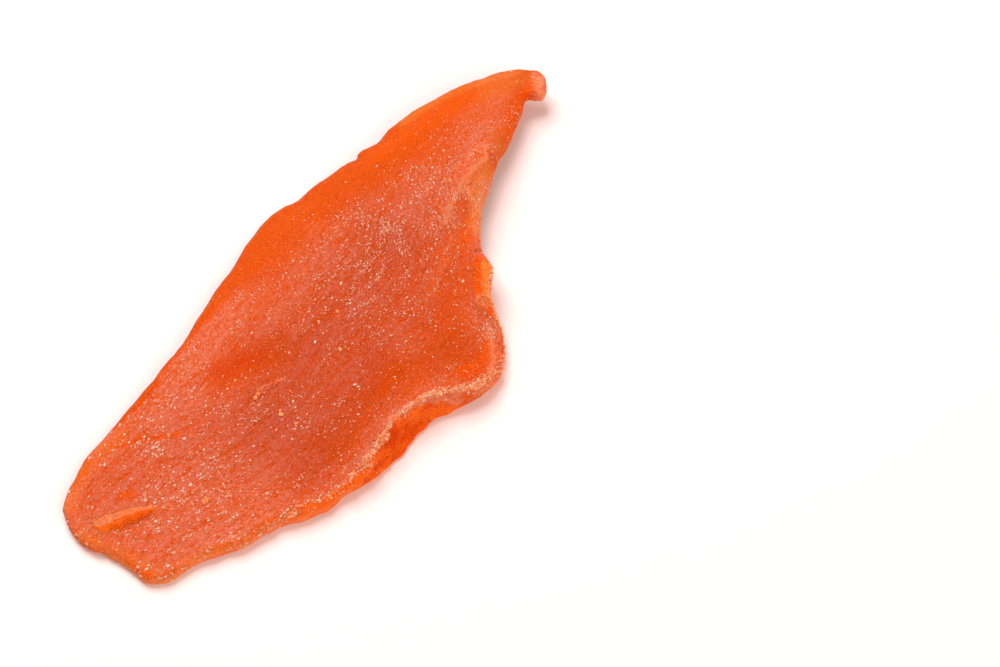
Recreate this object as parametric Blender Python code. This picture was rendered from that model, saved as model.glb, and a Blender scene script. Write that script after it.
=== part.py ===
"""A dried mango slice, lying on a table with its broad cut face up.

The slice is one thin, leathery sheet of fruit. It runs along +X from a blunt end to a hooked tip. Its
left margin (+Y) is thin and smooth. Its right margin (-Y) is a thick cut side under a raised lip, and
further on an upturned ear. The sheet arches across its width and rests on its blunt end, on the lip's
side and on its left margin.

A place on the slice is given by two shares: of LENGTH, from the blunt end, and of WIDTH, from a line
that runs lengthwise through the blunt end and the tip. Heights, reaches and steps are in metres.
"""

import bmesh
import bpy
import numpy as np

# Driving sizes, in metres
LENGTH = 0.115
WIDTH = 0.050
THICKNESS = 0.0030  # of the flesh, away from the margins
RISE = 0.0066  # of the sheet's middle layer above the table, where it is highest

# How finely the sheet is divided
ROWS = 80  # along the length
COLUMNS = 28  # across the width
RIGHT_STEPS = (0.0, 0.00015, 0.0005, 0.0011, 0.0019, 0.0028, 0.0038, 0.0049, 0.0062)  # in from the edge
LEFT_STEPS = (0.0, 0.00012, 0.0004, 0.0011, 0.0024)
NARROW_RIGHT = 0.45  # the most of the local width that the right edge's steps may take
NARROW_LEFT = 0.20

# The outline: (share of length, share of width)
LEFT_EDGE = (
    (0.021, 0.140), (0.043, 0.172), (0.068, 0.190), (0.093, 0.210), (0.120, 0.215), (0.145, 0.222),
    (0.172, 0.228), (0.205, 0.234), (0.239, 0.236), (0.266, 0.247), (0.310, 0.257), (0.355, 0.279),
    (0.400, 0.303), (0.430, 0.319), (0.461, 0.332), (0.492, 0.356), (0.520, 0.369), (0.547, 0.377),
    (0.580, 0.372), (0.592, 0.364), (0.602, 0.352), (0.642, 0.342), (0.680, 0.314), (0.705, 0.303),
    (0.717, 0.287), (0.721, 0.296), (0.742, 0.286), (0.756, 0.271), (0.782, 0.273), (0.805, 0.260),
    (0.830, 0.251), (0.868, 0.218), (0.893, 0.195), (0.915, 0.175), (0.940, 0.139), (0.960, 0.115),
    (0.986, 0.066),
)
RIGHT_EDGE = (
    (0.021, -0.252), (0.037, -0.282), (0.060, -0.300), (0.082, -0.316), (0.105, -0.344),
    (0.132, -0.380), (0.160, -0.402), (0.180, -0.414), (0.197, -0.432), (0.214, -0.464),
    (0.232, -0.485), (0.255, -0.510), (0.285, -0.517), (0.305, -0.530), (0.330, -0.548),
    (0.355, -0.556), (0.380, -0.564), (0.405, -0.556), (0.418, -0.549), (0.434, -0.555),
    (0.455, -0.561), (0.474, -0.583), (0.500, -0.603), (0.530, -0.623), (0.555, -0.629),
    (0.572, -0.620), (0.590, -0.600), (0.608, -0.566), (0.622, -0.530), (0.631, -0.500),
    (0.637, -0.467), (0.646, -0.437), (0.660, -0.414), (0.674, -0.396), (0.684, -0.372),
    (0.691, -0.344), (0.697, -0.312), (0.706, -0.284), (0.722, -0.252), (0.747, -0.206),
    (0.787, -0.158), (0.824, -0.124), (0.847, -0.105), (0.869, -0.093), (0.914, -0.059),
    (0.938, -0.041), (0.949, -0.028), (0.957, -0.032), (0.970, -0.062), (0.986, -0.057),
)
# How far each end bulges past the straight line between the edges' last points: (place across, from -1
# at the right edge to 1 at the left, share of length)
BLUNT_END = (
    (-1.0, 0.0), (-0.93, 0.005), (-0.62, 0.007), (-0.33, 0.009), (-0.05, 0.012), (0.20, 0.018),
    (0.42, 0.020), (0.65, 0.015), (0.82, 0.009), (1.0, 0.0),
)
TIP_END = ((-1.0, 0.0), (-0.6, 0.012), (0.0, 0.016), (0.5, 0.007), (1.0, 0.0))
END_FADE = 0.05  # share of length over which an end's bulge dies away

# How the sheet lies: heights of its middle layer along the length, as shares of RISE
LEFT_HEIGHT = (
    (0.0, 0.17), (0.10, 0.15), (0.22, 0.22), (0.36, 0.28), (0.47, 0.18), (0.55, 0.075), (0.64, 0.075),
    (0.70, 0.20), (0.76, 0.34), (0.84, 0.52), (0.91, 0.66), (1.0, 0.62),
)
SPINE_HEIGHT = (
    (0.0, 0.17), (0.12, 0.17), (0.24, 0.32), (0.40, 0.54), (0.55, 0.70), (0.68, 0.86), (0.77, 0.97),
    (0.85, 0.98), (0.92, 0.84), (1.0, 0.62),
)
RIGHT_HEIGHT = (
    (0.0, 0.13), (0.20, 0.15), (0.34, 0.16), (0.50, 0.15), (0.58, 0.15), (0.62, 0.22), (0.66, 0.33),
    (0.72, 0.42), (0.80, 0.38), (0.87, 0.40), (0.94, 0.50), (1.0, 0.50),
)
SPINE_PLACE = (
    (0.0, 0.0), (0.30, -0.05), (0.50, -0.10), (0.62, -0.20), (0.72, -0.48), (0.80, -0.52), (0.90, -0.30),
    (1.0, 0.0),
)  # across, from -1 at the right edge to 1 at the left

# Thickness along the length, as shares of THICKNESS. It keeps near the middle's value, the more so the
# higher the power, and then runs to the edge's.
LEFT_THICKNESS = ((0.0, 0.62), (0.2, 0.55), (0.5, 0.45), (0.8, 0.45), (1.0, 0.62))
MIDDLE_THICKNESS = ((0.0, 0.72), (0.2, 0.90), (0.5, 1.0), (0.8, 0.92), (1.0, 0.72))
RIGHT_THICKNESS = (
    (0.0, 0.66), (0.15, 0.86), (0.30, 1.00), (0.50, 0.96), (0.59, 0.76), (0.64, 0.45), (0.69, 0.45),
    (0.78, 0.62), (1.0, 0.62),
)
THICKNESS_POWER = 3
# How far in from the outline each face has its full thickness. The right one is the cut side's width.
LEFT_ROUNDING = ((0.0, 0.0010), (1.0, 0.0010))
RIGHT_ROUNDING = (
    (0.0, 0.0010), (0.15, 0.0014), (0.25, 0.0020), (0.32, 0.0024), (0.37, 0.0036), (0.40, 0.0042),
    (0.43, 0.0034), (0.47, 0.0020), (0.52, 0.0013), (0.59, 0.0010), (0.64, 0.0006), (0.70, 0.0007),
    (0.80, 0.0011), (1.0, 0.0009),
)
UNDER_ROUNDING = 0.0008
LEFT_SQUARENESS = 2.0  # 1 is a straight slope, 2 is a quarter of an ellipse
RIGHT_SQUARENESS = 1.35
EDGE_DROP = 0.20  # share of the thickness that the outline lies below the middle layer
DROP_REACH = 0.0012

# Folds that both faces of the sheet follow. A path's points are (share of length, share of width,
# height), from the blunt end towards the tip, and the reach is how far it spreads (to the left, to the
# right).
FOLDS = {
    "shoulder_ridge": {
        "path": ((0.60, -0.165, 0.0), (0.66, -0.137, 0.0006), (0.723, -0.112, 0.0011),
                 (0.769, -0.086, 0.0015), (0.807, -0.080, 0.0014), (0.845, -0.068, 0.0008),
                 (0.90, -0.030, 0.0)),
        "reach": (0.0015, 0.0030),
    },
    "shoulder_branch": {
        "path": ((0.70, -0.31, 0.0), (0.722, -0.25, 0.0007), (0.741, -0.20, 0.0011),
                 (0.753, -0.15, 0.0010), (0.775, -0.10, 0.0)),
        "reach": (0.0012, 0.0010),
    },
    "shoulder_hollow": {
        "path": ((0.56, -0.40, 0.0), (0.61, -0.34, -0.0006), (0.66, -0.25, -0.0010), (0.71, -0.17, -0.0008),
                 (0.75, -0.11, 0.0)),
        "reach": (0.0026, 0.0022),
    },
    "ear": {
        "path": ((0.622, -0.520, 0.0), (0.631, -0.483, 0.0015), (0.640, -0.448, 0.0028),
                 (0.660, -0.412, 0.0032), (0.673, -0.394, 0.0031), (0.682, -0.370, 0.0024),
                 (0.689, -0.342, 0.0012), (0.697, -0.300, 0.0)),
        "reach": (0.0019, 0.0030),
    },
    "middle_hollow": {
        "path": ((0.29, 0.12, 0.0), (0.33, 0.08, -0.0006), (0.36, 0.02, -0.0008), (0.39, -0.08, -0.0004),
                 (0.43, -0.16, 0.0)),
        "reach": (0.0042, 0.0032),
    },
    "left_swell": {
        "path": ((0.38, 0.22, 0.0), (0.48, 0.24, 0.0005), (0.60, 0.22, 0.0005), (0.72, 0.16, 0.0)),
        "reach": (0.0032, 0.0050),
    },
    "tip_lobe": {
        "path": ((0.972, -0.035, 0.0006), (0.985, -0.005, 0.0005)),
        "reach": (0.0014, 0.0014),
    },
}
# Marks that only the upper face has
MARKS = {
    "lip": {
        "path": ((0.05, -0.27, 0.0002), (0.14, -0.37, 0.0004), (0.23, -0.45, 0.0007), (0.29, -0.49, 0.0009),
                 (0.33, -0.505, 0.0010), (0.36, -0.495, 0.0012), (0.40, -0.475, 0.0015),
                 (0.44, -0.49, 0.0014), (0.48, -0.52, 0.0012), (0.52, -0.59, 0.0009),
                 (0.56, -0.61, 0.0005), (0.60, -0.57, 0.0)),
        "reach": (0.0009, 0.0026),
    },
    "lip_trough": {
        "path": ((0.25, -0.42, 0.0), (0.32, -0.44, -0.0003), (0.39, -0.42, -0.0005), (0.46, -0.43, -0.0006),
                 (0.52, -0.49, -0.0004), (0.58, -0.52, 0.0)),
        "reach": (0.0030, 0.0014),
    },
    "cut_ledge": {
        "path": ((0.36, -0.535, 0.0), (0.385, -0.525, -0.0006), (0.415, -0.52, -0.0008),
                 (0.445, -0.54, -0.0005), (0.47, -0.565, 0.0)),
        "reach": (0.0009, 0.0009),
    },
    "end_hollow": {
        "path": ((0.10, -0.20, 0.0), (0.17, -0.22, -0.0004), (0.25, -0.24, -0.0003), (0.33, -0.22, 0.0)),
        "reach": (0.0050, 0.0040),
    },
    "flake": {
        "path": ((0.026, 0.020, 0.0), (0.042, 0.010, 0.0008), (0.062, -0.022, 0.0011),
                 (0.083, -0.062, 0.0009), (0.100, -0.090, 0.0)),
        "reach": (0.0011, 0.0011),
    },
    "tip_crease": {
        "path": ((0.93, -0.014, 0.0), (0.95, -0.004, -0.0008), (0.968, 0.012, -0.0006),
                 (0.985, 0.03, 0.0)),
        "reach": (0.0009, 0.0009),
    },
    "dimple": {
        "path": ((0.816, -0.102, -0.0004), (0.826, -0.099, -0.0004)),
        "reach": (0.0007, 0.0007),
    },
}
# Knobs on the lip and on the cut side, where the flesh was torn
KNOBS = 34
KNOB_SEED = 7
KNOB_SPAN = (0.10, 0.58)  # share of length
KNOB_HEIGHT = (-0.00035, 0.00045)
KNOB_RADIUS = (0.0009, 0.0017)
KNOB_SCATTER = 0.0012  # to either side of the lip's crest


def through(points, at):
    """The values at these places of the smooth curve through (place, value) points."""
    places, values = np.array(points, float).T
    slopes = np.gradient(values, places)
    span = np.clip(np.searchsorted(places, at) - 1, 0, len(places) - 2)
    gap = places[span + 1] - places[span]
    s = np.clip((at - places[span]) / gap, 0.0, 1.0)
    start = (1 + 2 * s) * (1 - s) ** 2 * values[span] + s * (1 - s) ** 2 * gap * slopes[span]
    end = s * s * (3 - 2 * s) * values[span + 1] - s * s * (1 - s) * gap * slopes[span + 1]
    return start + end


def steps(width, count, low, high):
    """Distances from one edge of count + 1 places across strips of these widths. The first ones are low,
    the last ones are high, measured from the other edge, and the rest are spread evenly between them."""
    low = np.array(low)[None, :] * np.minimum(1, NARROW_RIGHT * width / low[-1])[:, None]
    high = np.array(high)[None, :] * np.minimum(1, NARROW_LEFT * width / high[-1])[:, None]
    inner = count - low.shape[1] - high.shape[1] + 2
    share = np.linspace(0, 1, inner + 1)[None, :]
    far = width[:, None]
    first, last = low[:, -1:], far - high[:, -1:]
    return np.concatenate([low[:, :-1], first + share * (last - first), far - high[:, -2::-1]], axis=1)


def plan(rows, columns):
    """(x, y, across): the sheet's points seen from above, and their places across the width."""
    first, last = LEFT_EDGE[0][0] * LENGTH, LEFT_EDGE[-1][0] * LENGTH
    along = first + steps(np.array([last - first]), rows, LEFT_STEPS, LEFT_STEPS)[0]
    share = along / LENGTH
    left, right = through(LEFT_EDGE, share) * WIDTH, through(RIGHT_EDGE, share) * WIDTH
    inward = steps(left - right, columns, RIGHT_STEPS, LEFT_STEPS)
    y = right[:, None] + inward
    across = 2 * inward / (left - right)[:, None] - 1
    near_blunt = np.clip(1 - (along - first) / (END_FADE * LENGTH), 0, 1)[:, None] ** 2
    near_tip = np.clip(1 - (last - along) / (END_FADE * LENGTH), 0, 1)[:, None] ** 2
    bulge = near_tip * through(TIP_END, across) - near_blunt * through(BLUNT_END, across)
    return along[:, None] + bulge * LENGTH, y, across


def nearest_on_path(x, y, path):
    """(distance, height, side) at each point, for the nearest place on a path of (x, y, height).
    Side is positive to the left of the path, looking along it."""
    best = np.full(x.shape, np.inf)
    height, side = np.zeros(x.shape), np.zeros(x.shape)
    for (ax, ay, ah), (bx, by, bh) in zip(path[:-1], path[1:]):
        dx, dy = bx - ax, by - ay
        s = np.clip(((x - ax) * dx + (y - ay) * dy) / (dx * dx + dy * dy), 0, 1)
        away = np.hypot(x - ax - s * dx, y - ay - s * dy)
        nearer = away < best
        best = np.where(nearer, away, best)
        height = np.where(nearer, ah + s * (bh - ah), height)
        side = np.where(nearer, np.sign(dx * (y - ay) - dy * (x - ax)), side)
    return best, height, side


def relief(x, y, path, reach):
    """Height that one fold or mark adds at each point."""
    real = [(u * LENGTH, v * WIDTH, h) for u, v, h in path]
    away, height, side = nearest_on_path(x, y, real)
    return height * np.exp(-((away / np.where(side > 0, reach[0], reach[1])) ** 2))


def knobs(x, y):
    """Height that the seeded knobs along the lip add at each point."""
    draws = np.random.default_rng(KNOB_SEED)
    crest = [(u, v) for u, v, _ in MARKS["lip"]["path"]]
    total = np.zeros(x.shape)
    for u in np.linspace(*KNOB_SPAN, KNOBS):
        centre_x = u * LENGTH
        centre_y = through(crest, np.array([u]))[0] * WIDTH + draws.uniform(-KNOB_SCATTER, KNOB_SCATTER)
        height, radius = draws.uniform(*KNOB_HEIGHT), draws.uniform(*KNOB_RADIUS)
        total += height * np.exp(-((x - centre_x) ** 2 + (y - centre_y) ** 2) / radius**2)
    return total


def arch(share, across):
    """Height of the middle layer before the folds: an arch between the two edges, highest on the spine."""
    left, spine, right = (through(t, share) * RISE for t in (LEFT_HEIGHT, SPINE_HEIGHT, RIGHT_HEIGHT))
    top = through(SPINE_PLACE, share)
    to_left = np.clip((across - top) / (1 - top), 0, 1)
    to_right = np.clip((top - across) / (top + 1), 0, 1)
    return spine - (spine - left) * to_left**2 - (spine - right) * to_right**2


def edge_distance(x, y):
    """Distance in plan from each point of the sheet to its outline, which is the border of the grid."""
    ring_x = np.concatenate([x[0, :-1], x[:-1, -1], x[-1, :0:-1], x[:0:-1, 0]])
    ring_y = np.concatenate([y[0, :-1], y[:-1, -1], y[-1, :0:-1], y[:0:-1, 0]])
    best = np.full(x.shape, np.inf)
    for ax, ay, bx, by in zip(ring_x, ring_y, np.roll(ring_x, -1), np.roll(ring_y, -1)):
        dx, dy = bx - ax, by - ay
        s = np.clip(((x - ax) * dx + (y - ay) * dy) / (dx * dx + dy * dy), 0, 1)
        best = np.minimum(best, np.hypot(x - ax - s * dx, y - ay - s * dy))
    return best


def thickness(share, across):
    """Thickness of the sheet, which changes from the middle towards each edge."""
    middle = through(MIDDLE_THICKNESS, share)
    edge = np.where(across > 0, through(LEFT_THICKNESS, share), through(RIGHT_THICKNESS, share))
    return THICKNESS * (middle + (edge - middle) * np.abs(across) ** THICKNESS_POWER)


def fullness(distance, rounding, squareness):
    """Share of the full thickness at this distance from the outline, from 0 there to 1."""
    left = 1 - np.clip(distance / rounding, 0, 1)
    return (1 - left**squareness) ** (1 / squareness)


def normals(x, y, z):
    """Unit normals of the surface over a grid, facing up."""
    lengthwise, crosswise = (np.stack([np.gradient(a, axis=k) for a in (x, y, z)], axis=-1) for k in (0, 1))
    cross = np.cross(lengthwise, crosswise)
    return cross / np.linalg.norm(cross, axis=-1, keepdims=True)


def sheet(rows, columns):
    """(top, bottom): the two faces of the sheet as grids of points. They meet along the grid's border."""
    x, y, across = plan(rows, columns)
    share = x / LENGTH
    edge = edge_distance(x, y)
    thick = thickness(share, across)
    z = arch(share, across) - EDGE_DROP * thick * (1 - np.clip(edge / DROP_REACH, 0, 1)) ** 2
    for fold in FOLDS.values():
        z = z + relief(x, y, **fold)
    left_side = across > 0
    rounding = np.where(left_side, through(LEFT_ROUNDING, share), through(RIGHT_ROUNDING, share))
    full_top = fullness(edge, rounding, np.where(left_side, LEFT_SQUARENESS, RIGHT_SQUARENESS))
    full_bottom = fullness(edge, UNDER_ROUNDING, LEFT_SQUARENESS)
    middle, facing = np.stack([x, y, z], axis=-1), normals(x, y, z)
    top = middle + (thick / 2 * full_top)[..., None] * facing
    bottom = middle - (thick / 2 * full_bottom)[..., None] * facing
    top[..., 2] += full_top * (sum(relief(x, y, **mark) for mark in MARKS.values()) + knobs(x, y))
    bottom[..., 2] = np.maximum(bottom[..., 2], 0.0)
    return top, bottom


def centred(top, bottom):
    """Both faces moved so that the origin is under the middle of the slice, on the table."""
    points = np.concatenate([top.reshape(-1, 3), bottom.reshape(-1, 3)])
    low, high = points.min(axis=0), points.max(axis=0)
    origin = np.array([(low[0] + high[0]) / 2, (low[1] + high[1]) / 2, low[2]])
    return top - origin, bottom - origin


def skin(name, top, bottom):
    """A closed mesh of the two faces, which share the border's points. Both are split into triangles alike,
    each cell along the diagonal that points towards the nearest corner of the grid."""
    rows, columns = top.shape[0] - 1, top.shape[1] - 1
    shape = bmesh.new()
    upper = [[shape.verts.new(point) for point in row] for row in top]
    lower = [
        [
            upper[i][j] if i in (0, rows) or j in (0, columns) else shape.verts.new(bottom[i, j])
            for j in range(columns + 1)
        ]
        for i in range(rows + 1)
    ]
    for i in range(rows):
        for j in range(columns):
            a, b, c, d = (i, j), (i + 1, j), (i + 1, j + 1), (i, j + 1)
            rising = (i < rows / 2) == (j < columns / 2)
            for corners in ((a, b, c), (a, c, d)) if rising else ((a, b, d), (b, c, d)):
                shape.faces.new([upper[row][column] for row, column in corners])
                shape.faces.new([lower[row][column] for row, column in reversed(corners)])
    mesh = bpy.data.meshes.new(name)
    shape.to_mesh(mesh)
    shape.free()
    mesh.shade_smooth()
    return mesh


def fruit_material():
    """Dried mango: a waxy, slightly translucent orange."""
    material = bpy.data.materials.new("dried_mango")
    material.use_nodes = True
    surface = material.node_tree.nodes["Principled BSDF"]
    surface.inputs["Base Color"].default_value = (0.80, 0.13, 0.025, 1.0)
    surface.inputs["Roughness"].default_value = 0.5
    surface.inputs["Metallic"].default_value = 0.0
    return material


def main():
    for old in list(bpy.data.objects):
        bpy.data.objects.remove(old)
    mesh = skin("dried_mango_slice", *centred(*sheet(ROWS, COLUMNS)))
    mesh.materials.append(fruit_material())
    slice_object = bpy.data.objects.new("dried_mango_slice", mesh)
    bpy.context.scene.collection.objects.link(slice_object)


main()
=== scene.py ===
"""The looks of a dried mango slice: fibrous flesh with a torn lip, a flake, sugar grains and crumbs.

Places are in metres in the part's frame: +X along the slice from its blunt end to its hooked tip, +Y
towards its thin left margin, +Z up out of its broad cut face. The flesh has the solid's form, worked out
from shares of LENGTH and WIDTH by the same rules, and fine relief on top of it.
"""

import math

import bmesh
import bpy
import numpy as np
from mathutils.bvhtree import BVHTree
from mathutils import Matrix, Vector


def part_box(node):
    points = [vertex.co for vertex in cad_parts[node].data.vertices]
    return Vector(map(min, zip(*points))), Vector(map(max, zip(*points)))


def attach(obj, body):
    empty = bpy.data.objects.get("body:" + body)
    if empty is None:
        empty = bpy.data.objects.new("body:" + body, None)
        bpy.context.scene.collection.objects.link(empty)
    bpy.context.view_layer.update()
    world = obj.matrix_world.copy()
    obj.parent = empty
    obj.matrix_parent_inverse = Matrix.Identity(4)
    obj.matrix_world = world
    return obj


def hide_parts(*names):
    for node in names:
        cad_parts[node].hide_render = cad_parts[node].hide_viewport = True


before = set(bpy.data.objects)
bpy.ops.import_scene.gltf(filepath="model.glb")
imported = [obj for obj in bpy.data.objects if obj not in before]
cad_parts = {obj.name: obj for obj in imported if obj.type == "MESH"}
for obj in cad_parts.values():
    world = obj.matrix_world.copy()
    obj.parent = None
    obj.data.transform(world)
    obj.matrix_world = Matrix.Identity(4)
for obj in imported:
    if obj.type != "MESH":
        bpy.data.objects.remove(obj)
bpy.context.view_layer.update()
SLICE = "dried_mango_slice"
MM = 0.001
ABOVE_ALL = 0.1  # a height above everything
LATTICE = 256  # cells after which the noise repeats, and where it starts
LATTICE_START = 100

# The solid's driving sizes
LENGTH = 0.115
WIDTH = 0.050
THICKNESS = 0.0030
RISE = 0.0066


def shares(whole, *points):
    """Points given in parts of this whole, such as 100 for percent, as shares."""
    return np.array(points) / whole


def fold(left, right, *points):
    """A fold's reach to the left and right of its path, given in micrometres, and the path's points, given
    in thousandths of the length and the width and micrometres of height. Both come back in metres."""
    path = [(u / 1000 * LENGTH, v / 1000 * WIDTH, h / 1e6) for u, v, h in points]
    return {"path": path, "reach": (left / 1e6, right / 1e6)}


# How finely the flesh is divided. The underside has half as many rows and columns as the upper face.
ROWS = 460
COLUMNS = 170
FIRST_CELL = 0.00004  # beside an edge
EDGE_CELL = 0.00020
CELL_GROWTH = 1.35
RIGHT_REACH = 0.0060  # how far in from an edge the cells stay small
LEFT_REACH = 0.0016
NARROW_RIGHT = 0.45  # the most of the local width that the right edge's small cells may take
NARROW_LEFT = 0.20

# The outline: thousandths of the length and of the width
LEFT_EDGE = shares(1000, (21, 140), (43, 172), (68, 190), (93, 210), (120, 215), (145, 222), (172, 228),
    (205, 234), (239, 236), (266, 247), (310, 257), (355, 279), (400, 303), (430, 319), (461, 332),
    (492, 356), (520, 369), (547, 377), (580, 372), (592, 364), (602, 352), (642, 342), (680, 314),
    (705, 303), (717, 287), (721, 296), (742, 286), (756, 271), (782, 273), (805, 260), (830, 251),
    (868, 218), (893, 195), (915, 175), (940, 139), (960, 115), (986, 66))
RIGHT_EDGE = shares(1000, (21, -252), (37, -282), (60, -300), (82, -316), (105, -344), (132, -380),
    (160, -402), (180, -414), (197, -432), (214, -464), (232, -485), (255, -510), (285, -517),
    (305, -530), (330, -548), (355, -556), (380, -564), (405, -556), (418, -549), (434, -555),
    (455, -561), (474, -583), (500, -603), (530, -623), (555, -629), (572, -620), (590, -600),
    (608, -566), (622, -530), (631, -500), (637, -467), (646, -437), (660, -414), (674, -396),
    (684, -372), (691, -344), (697, -312), (706, -284), (722, -252), (747, -206), (787, -158),
    (824, -124), (847, -105), (869, -93), (914, -59), (938, -41), (949, -28), (957, -32), (970, -62),
    (986, -57))
# How far each end bulges past the straight line between the edges' last points: places across, from -1000
# at the right edge to 1000 at the left, and thousandths of the length
BLUNT_END = shares(1000, (-1000, 0), (-930, 5), (-620, 7), (-330, 9), (-50, 12), (200, 18), (420, 20),
                   (650, 15), (820, 9), (1000, 0))
TIP_END = shares(1000, (-1000, 0), (-600, 12), (0, 16), (500, 7), (1000, 0))
END_FADE = 0.05
# Ragged places of the outline: (waves along it), (heights)
RAGGED_LEFT = ((0.0070, 0.0026, 0.0011), (0.00022, 0.00013, 0.00005))
RAGGED_RIGHT = ((0.0040, 0.0017, 0.0008), (0.00020, 0.00015, 0.00006))
RAGGED_END = ((0.0030, 0.0012), (0.00022, 0.00017))
SOFTENING = 8  # rows over which the outline's short steps are smoothed away for the arch

# How the sheet lies: percent of the length, and its middle layer's height in percent of RISE
LEFT_HEIGHT = shares(100, (0, 17), (10, 15), (22, 22), (36, 28), (47, 18), (55, 7.5), (64, 7.5), (70, 20),
                     (76, 34), (84, 52), (91, 66), (100, 62))
SPINE_HEIGHT = shares(100, (0, 17), (12, 17), (24, 32), (40, 54), (55, 70), (68, 86), (77, 97), (85, 98),
                      (92, 84), (100, 62))
RIGHT_HEIGHT = shares(100, (0, 13), (20, 15), (34, 16), (50, 15), (58, 15), (62, 22), (66, 33), (72, 42),
                      (80, 38), (87, 40), (94, 50), (100, 50))
# The highest place across, from -100 at the right edge to 100 at the left
SPINE_PLACE = shares(100, (0, 0), (30, -5), (50, -10), (62, -20), (72, -48), (80, -52), (90, -30),
                     (100, 0))

# Percent of the length, and thickness in percent of THICKNESS
LEFT_THICKNESS = shares(100, (0, 62), (20, 55), (50, 45), (80, 45), (100, 62))
MIDDLE_THICKNESS = shares(100, (0, 72), (20, 90), (50, 100), (80, 92), (100, 72))
RIGHT_THICKNESS = shares(100, (0, 66), (15, 86), (30, 100), (50, 96), (59, 76), (64, 45), (69, 45),
                         (78, 62), (100, 62))
THICKNESS_POWER = 3
# How far in from the outline each face has its full thickness. The right one is the cut side's width.
LEFT_ROUNDING = 0.0010
RIGHT_ROUNDING = ((0, 0.001), (0.15, 0.0014), (0.25, 0.002), (0.32, 0.0024), (0.37, 0.0036),
                  (0.4, 0.0042), (0.43, 0.0034), (0.47, 0.002), (0.52, 0.0013), (0.59, 0.001),
                  (0.64, 0.0006), (0.7, 0.0007), (0.8, 0.0011), (1, 0.0009))
UNDER_ROUNDING = 0.0008
LEFT_SQUARENESS = 2.0  # 1 is a straight slope, 2 is a quarter of an ellipse
RIGHT_SQUARENESS = 1.35
EDGE_DROP = 0.20
DROP_REACH = 0.0012

# Folds that both faces follow
FOLDS = {
    "shoulder_ridge": fold(1500, 3000, (600, -165, 0), (660, -137, 600), (723, -112, 1100),
        (769, -86, 1500), (807, -80, 1400), (845, -68, 800), (900, -30, 0)),
    "shoulder_branch": fold(1200, 1000, (700, -310, 0), (722, -250, 700), (741, -200, 1100),
        (753, -150, 1000), (775, -100, 0)),
    "shoulder_hollow": fold(2600, 2200, (560, -400, 0), (610, -340, -600), (660, -250, -1000),
        (710, -170, -800), (750, -110, 0)),
    "ear": fold(1900, 3000, (622, -520, 0), (631, -483, 1500), (640, -448, 2800), (660, -412, 3200),
        (673, -394, 3100), (682, -370, 2400), (689, -342, 1200), (697, -300, 0)),
    "middle_hollow": fold(4200, 3200, (290, 120, 0), (330, 80, -600), (360, 20, -800), (390, -80, -400),
        (430, -160, 0)),
    "left_swell": fold(3200, 5000, (380, 220, 0), (480, 240, 500), (600, 220, 500), (720, 160, 0)),
    "tip_lobe": fold(1400, 1400, (972, -35, 600), (985, -5, 500)),
}
# Marks that only the upper face has
MARKS = {
    "lip": fold(900, 2600, (50, -270, 200), (140, -370, 400), (230, -450, 700), (290, -490, 900),
        (330, -505, 1000), (360, -495, 1200), (400, -475, 1500), (440, -490, 1400), (480, -520, 1200),
        (520, -590, 900), (560, -610, 500), (600, -570, 0)),
    "lip_trough": fold(3000, 1400, (250, -420, 0), (320, -440, -300), (390, -420, -500),
        (460, -430, -600), (520, -490, -400), (580, -520, 0)),
    "cut_ledge": fold(900, 900, (360, -535, 0), (385, -525, -600), (415, -520, -800), (445, -540, -500),
        (470, -565, 0)),
    "end_hollow": fold(5000, 4000, (100, -200, 0), (170, -220, -400), (250, -240, -300), (330, -220, 0)),
    "flake": fold(1100, 1100, (26, 20, 0), (42, 10, 300), (62, -22, 400), (83, -62, 300), (100, -90, 0)),
    "tip_crease": fold(900, 900, (930, -14, 0), (950, -4, -500), (968, 12, -400), (985, 30, 0)),
    "dimple": fold(700, 700, (816, -102, -400), (826, -99, -400)),
    "tear": fold(250, 1100, (125, 165, 0), (140, 150, -100), (160, 122, -180), (185, 65, -160),
        (203, 23, 0)),
    "scratch": fold(300, 300, (315, -85, 0), (330, -95, 220), (345, -104, 220), (360, -114, 0)),
}
KNOBS = 34
KNOB_SEED = 7
KNOB_SPAN = (0.10, 0.58)
KNOB_HEIGHT = (-0.00035, 0.00045)
KNOB_RADIUS = (0.0009, 0.0017)
KNOB_SCATTER = 0.0012

# Fine relief of the flesh: (sizes), (heights)
FIBRE_LENGTH = 0.0045
FIBRES = ((0.0022, 0.0009), (0.000060, 0.000035))
PEBBLES = ((0.0013, 0.0007), (0.000045, 0.000040))
SWELL = ((0.0090,), (0.00016,))
TORN = ((0.0025, 0.0012, 0.0006), (0.00050, 0.00034, 0.00016))
TORN_CONTRAST = 1.6  # of the painted light and shade on the torn flesh: lighter on its raised lumps, darker in its hollows
RELIEF_FADE = 0.0006  # in from the outline
BAND_HEIGHT = 0.00075  # of the granular band that runs along the lip's crest
BAND_MIDDLE = 0.0004  # from the crest line out towards the cut side
BAND_REACH = (0.00028, 0.00065)  # towards the face, where it is steep, and towards the cut side
BAND_SPAN = shares(100, (0, 0), (15, 15), (28, 55), (34, 100), (45, 100), (50, 60), (56, 30), (60, 0))
WANDER = ((0.0026, 0.0011), (0.00036, 0.00020))  # of the band to either side
CRUST = ((0.0016, 0.0007), (0.00034, 0.00024))  # knobs on the band
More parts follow.
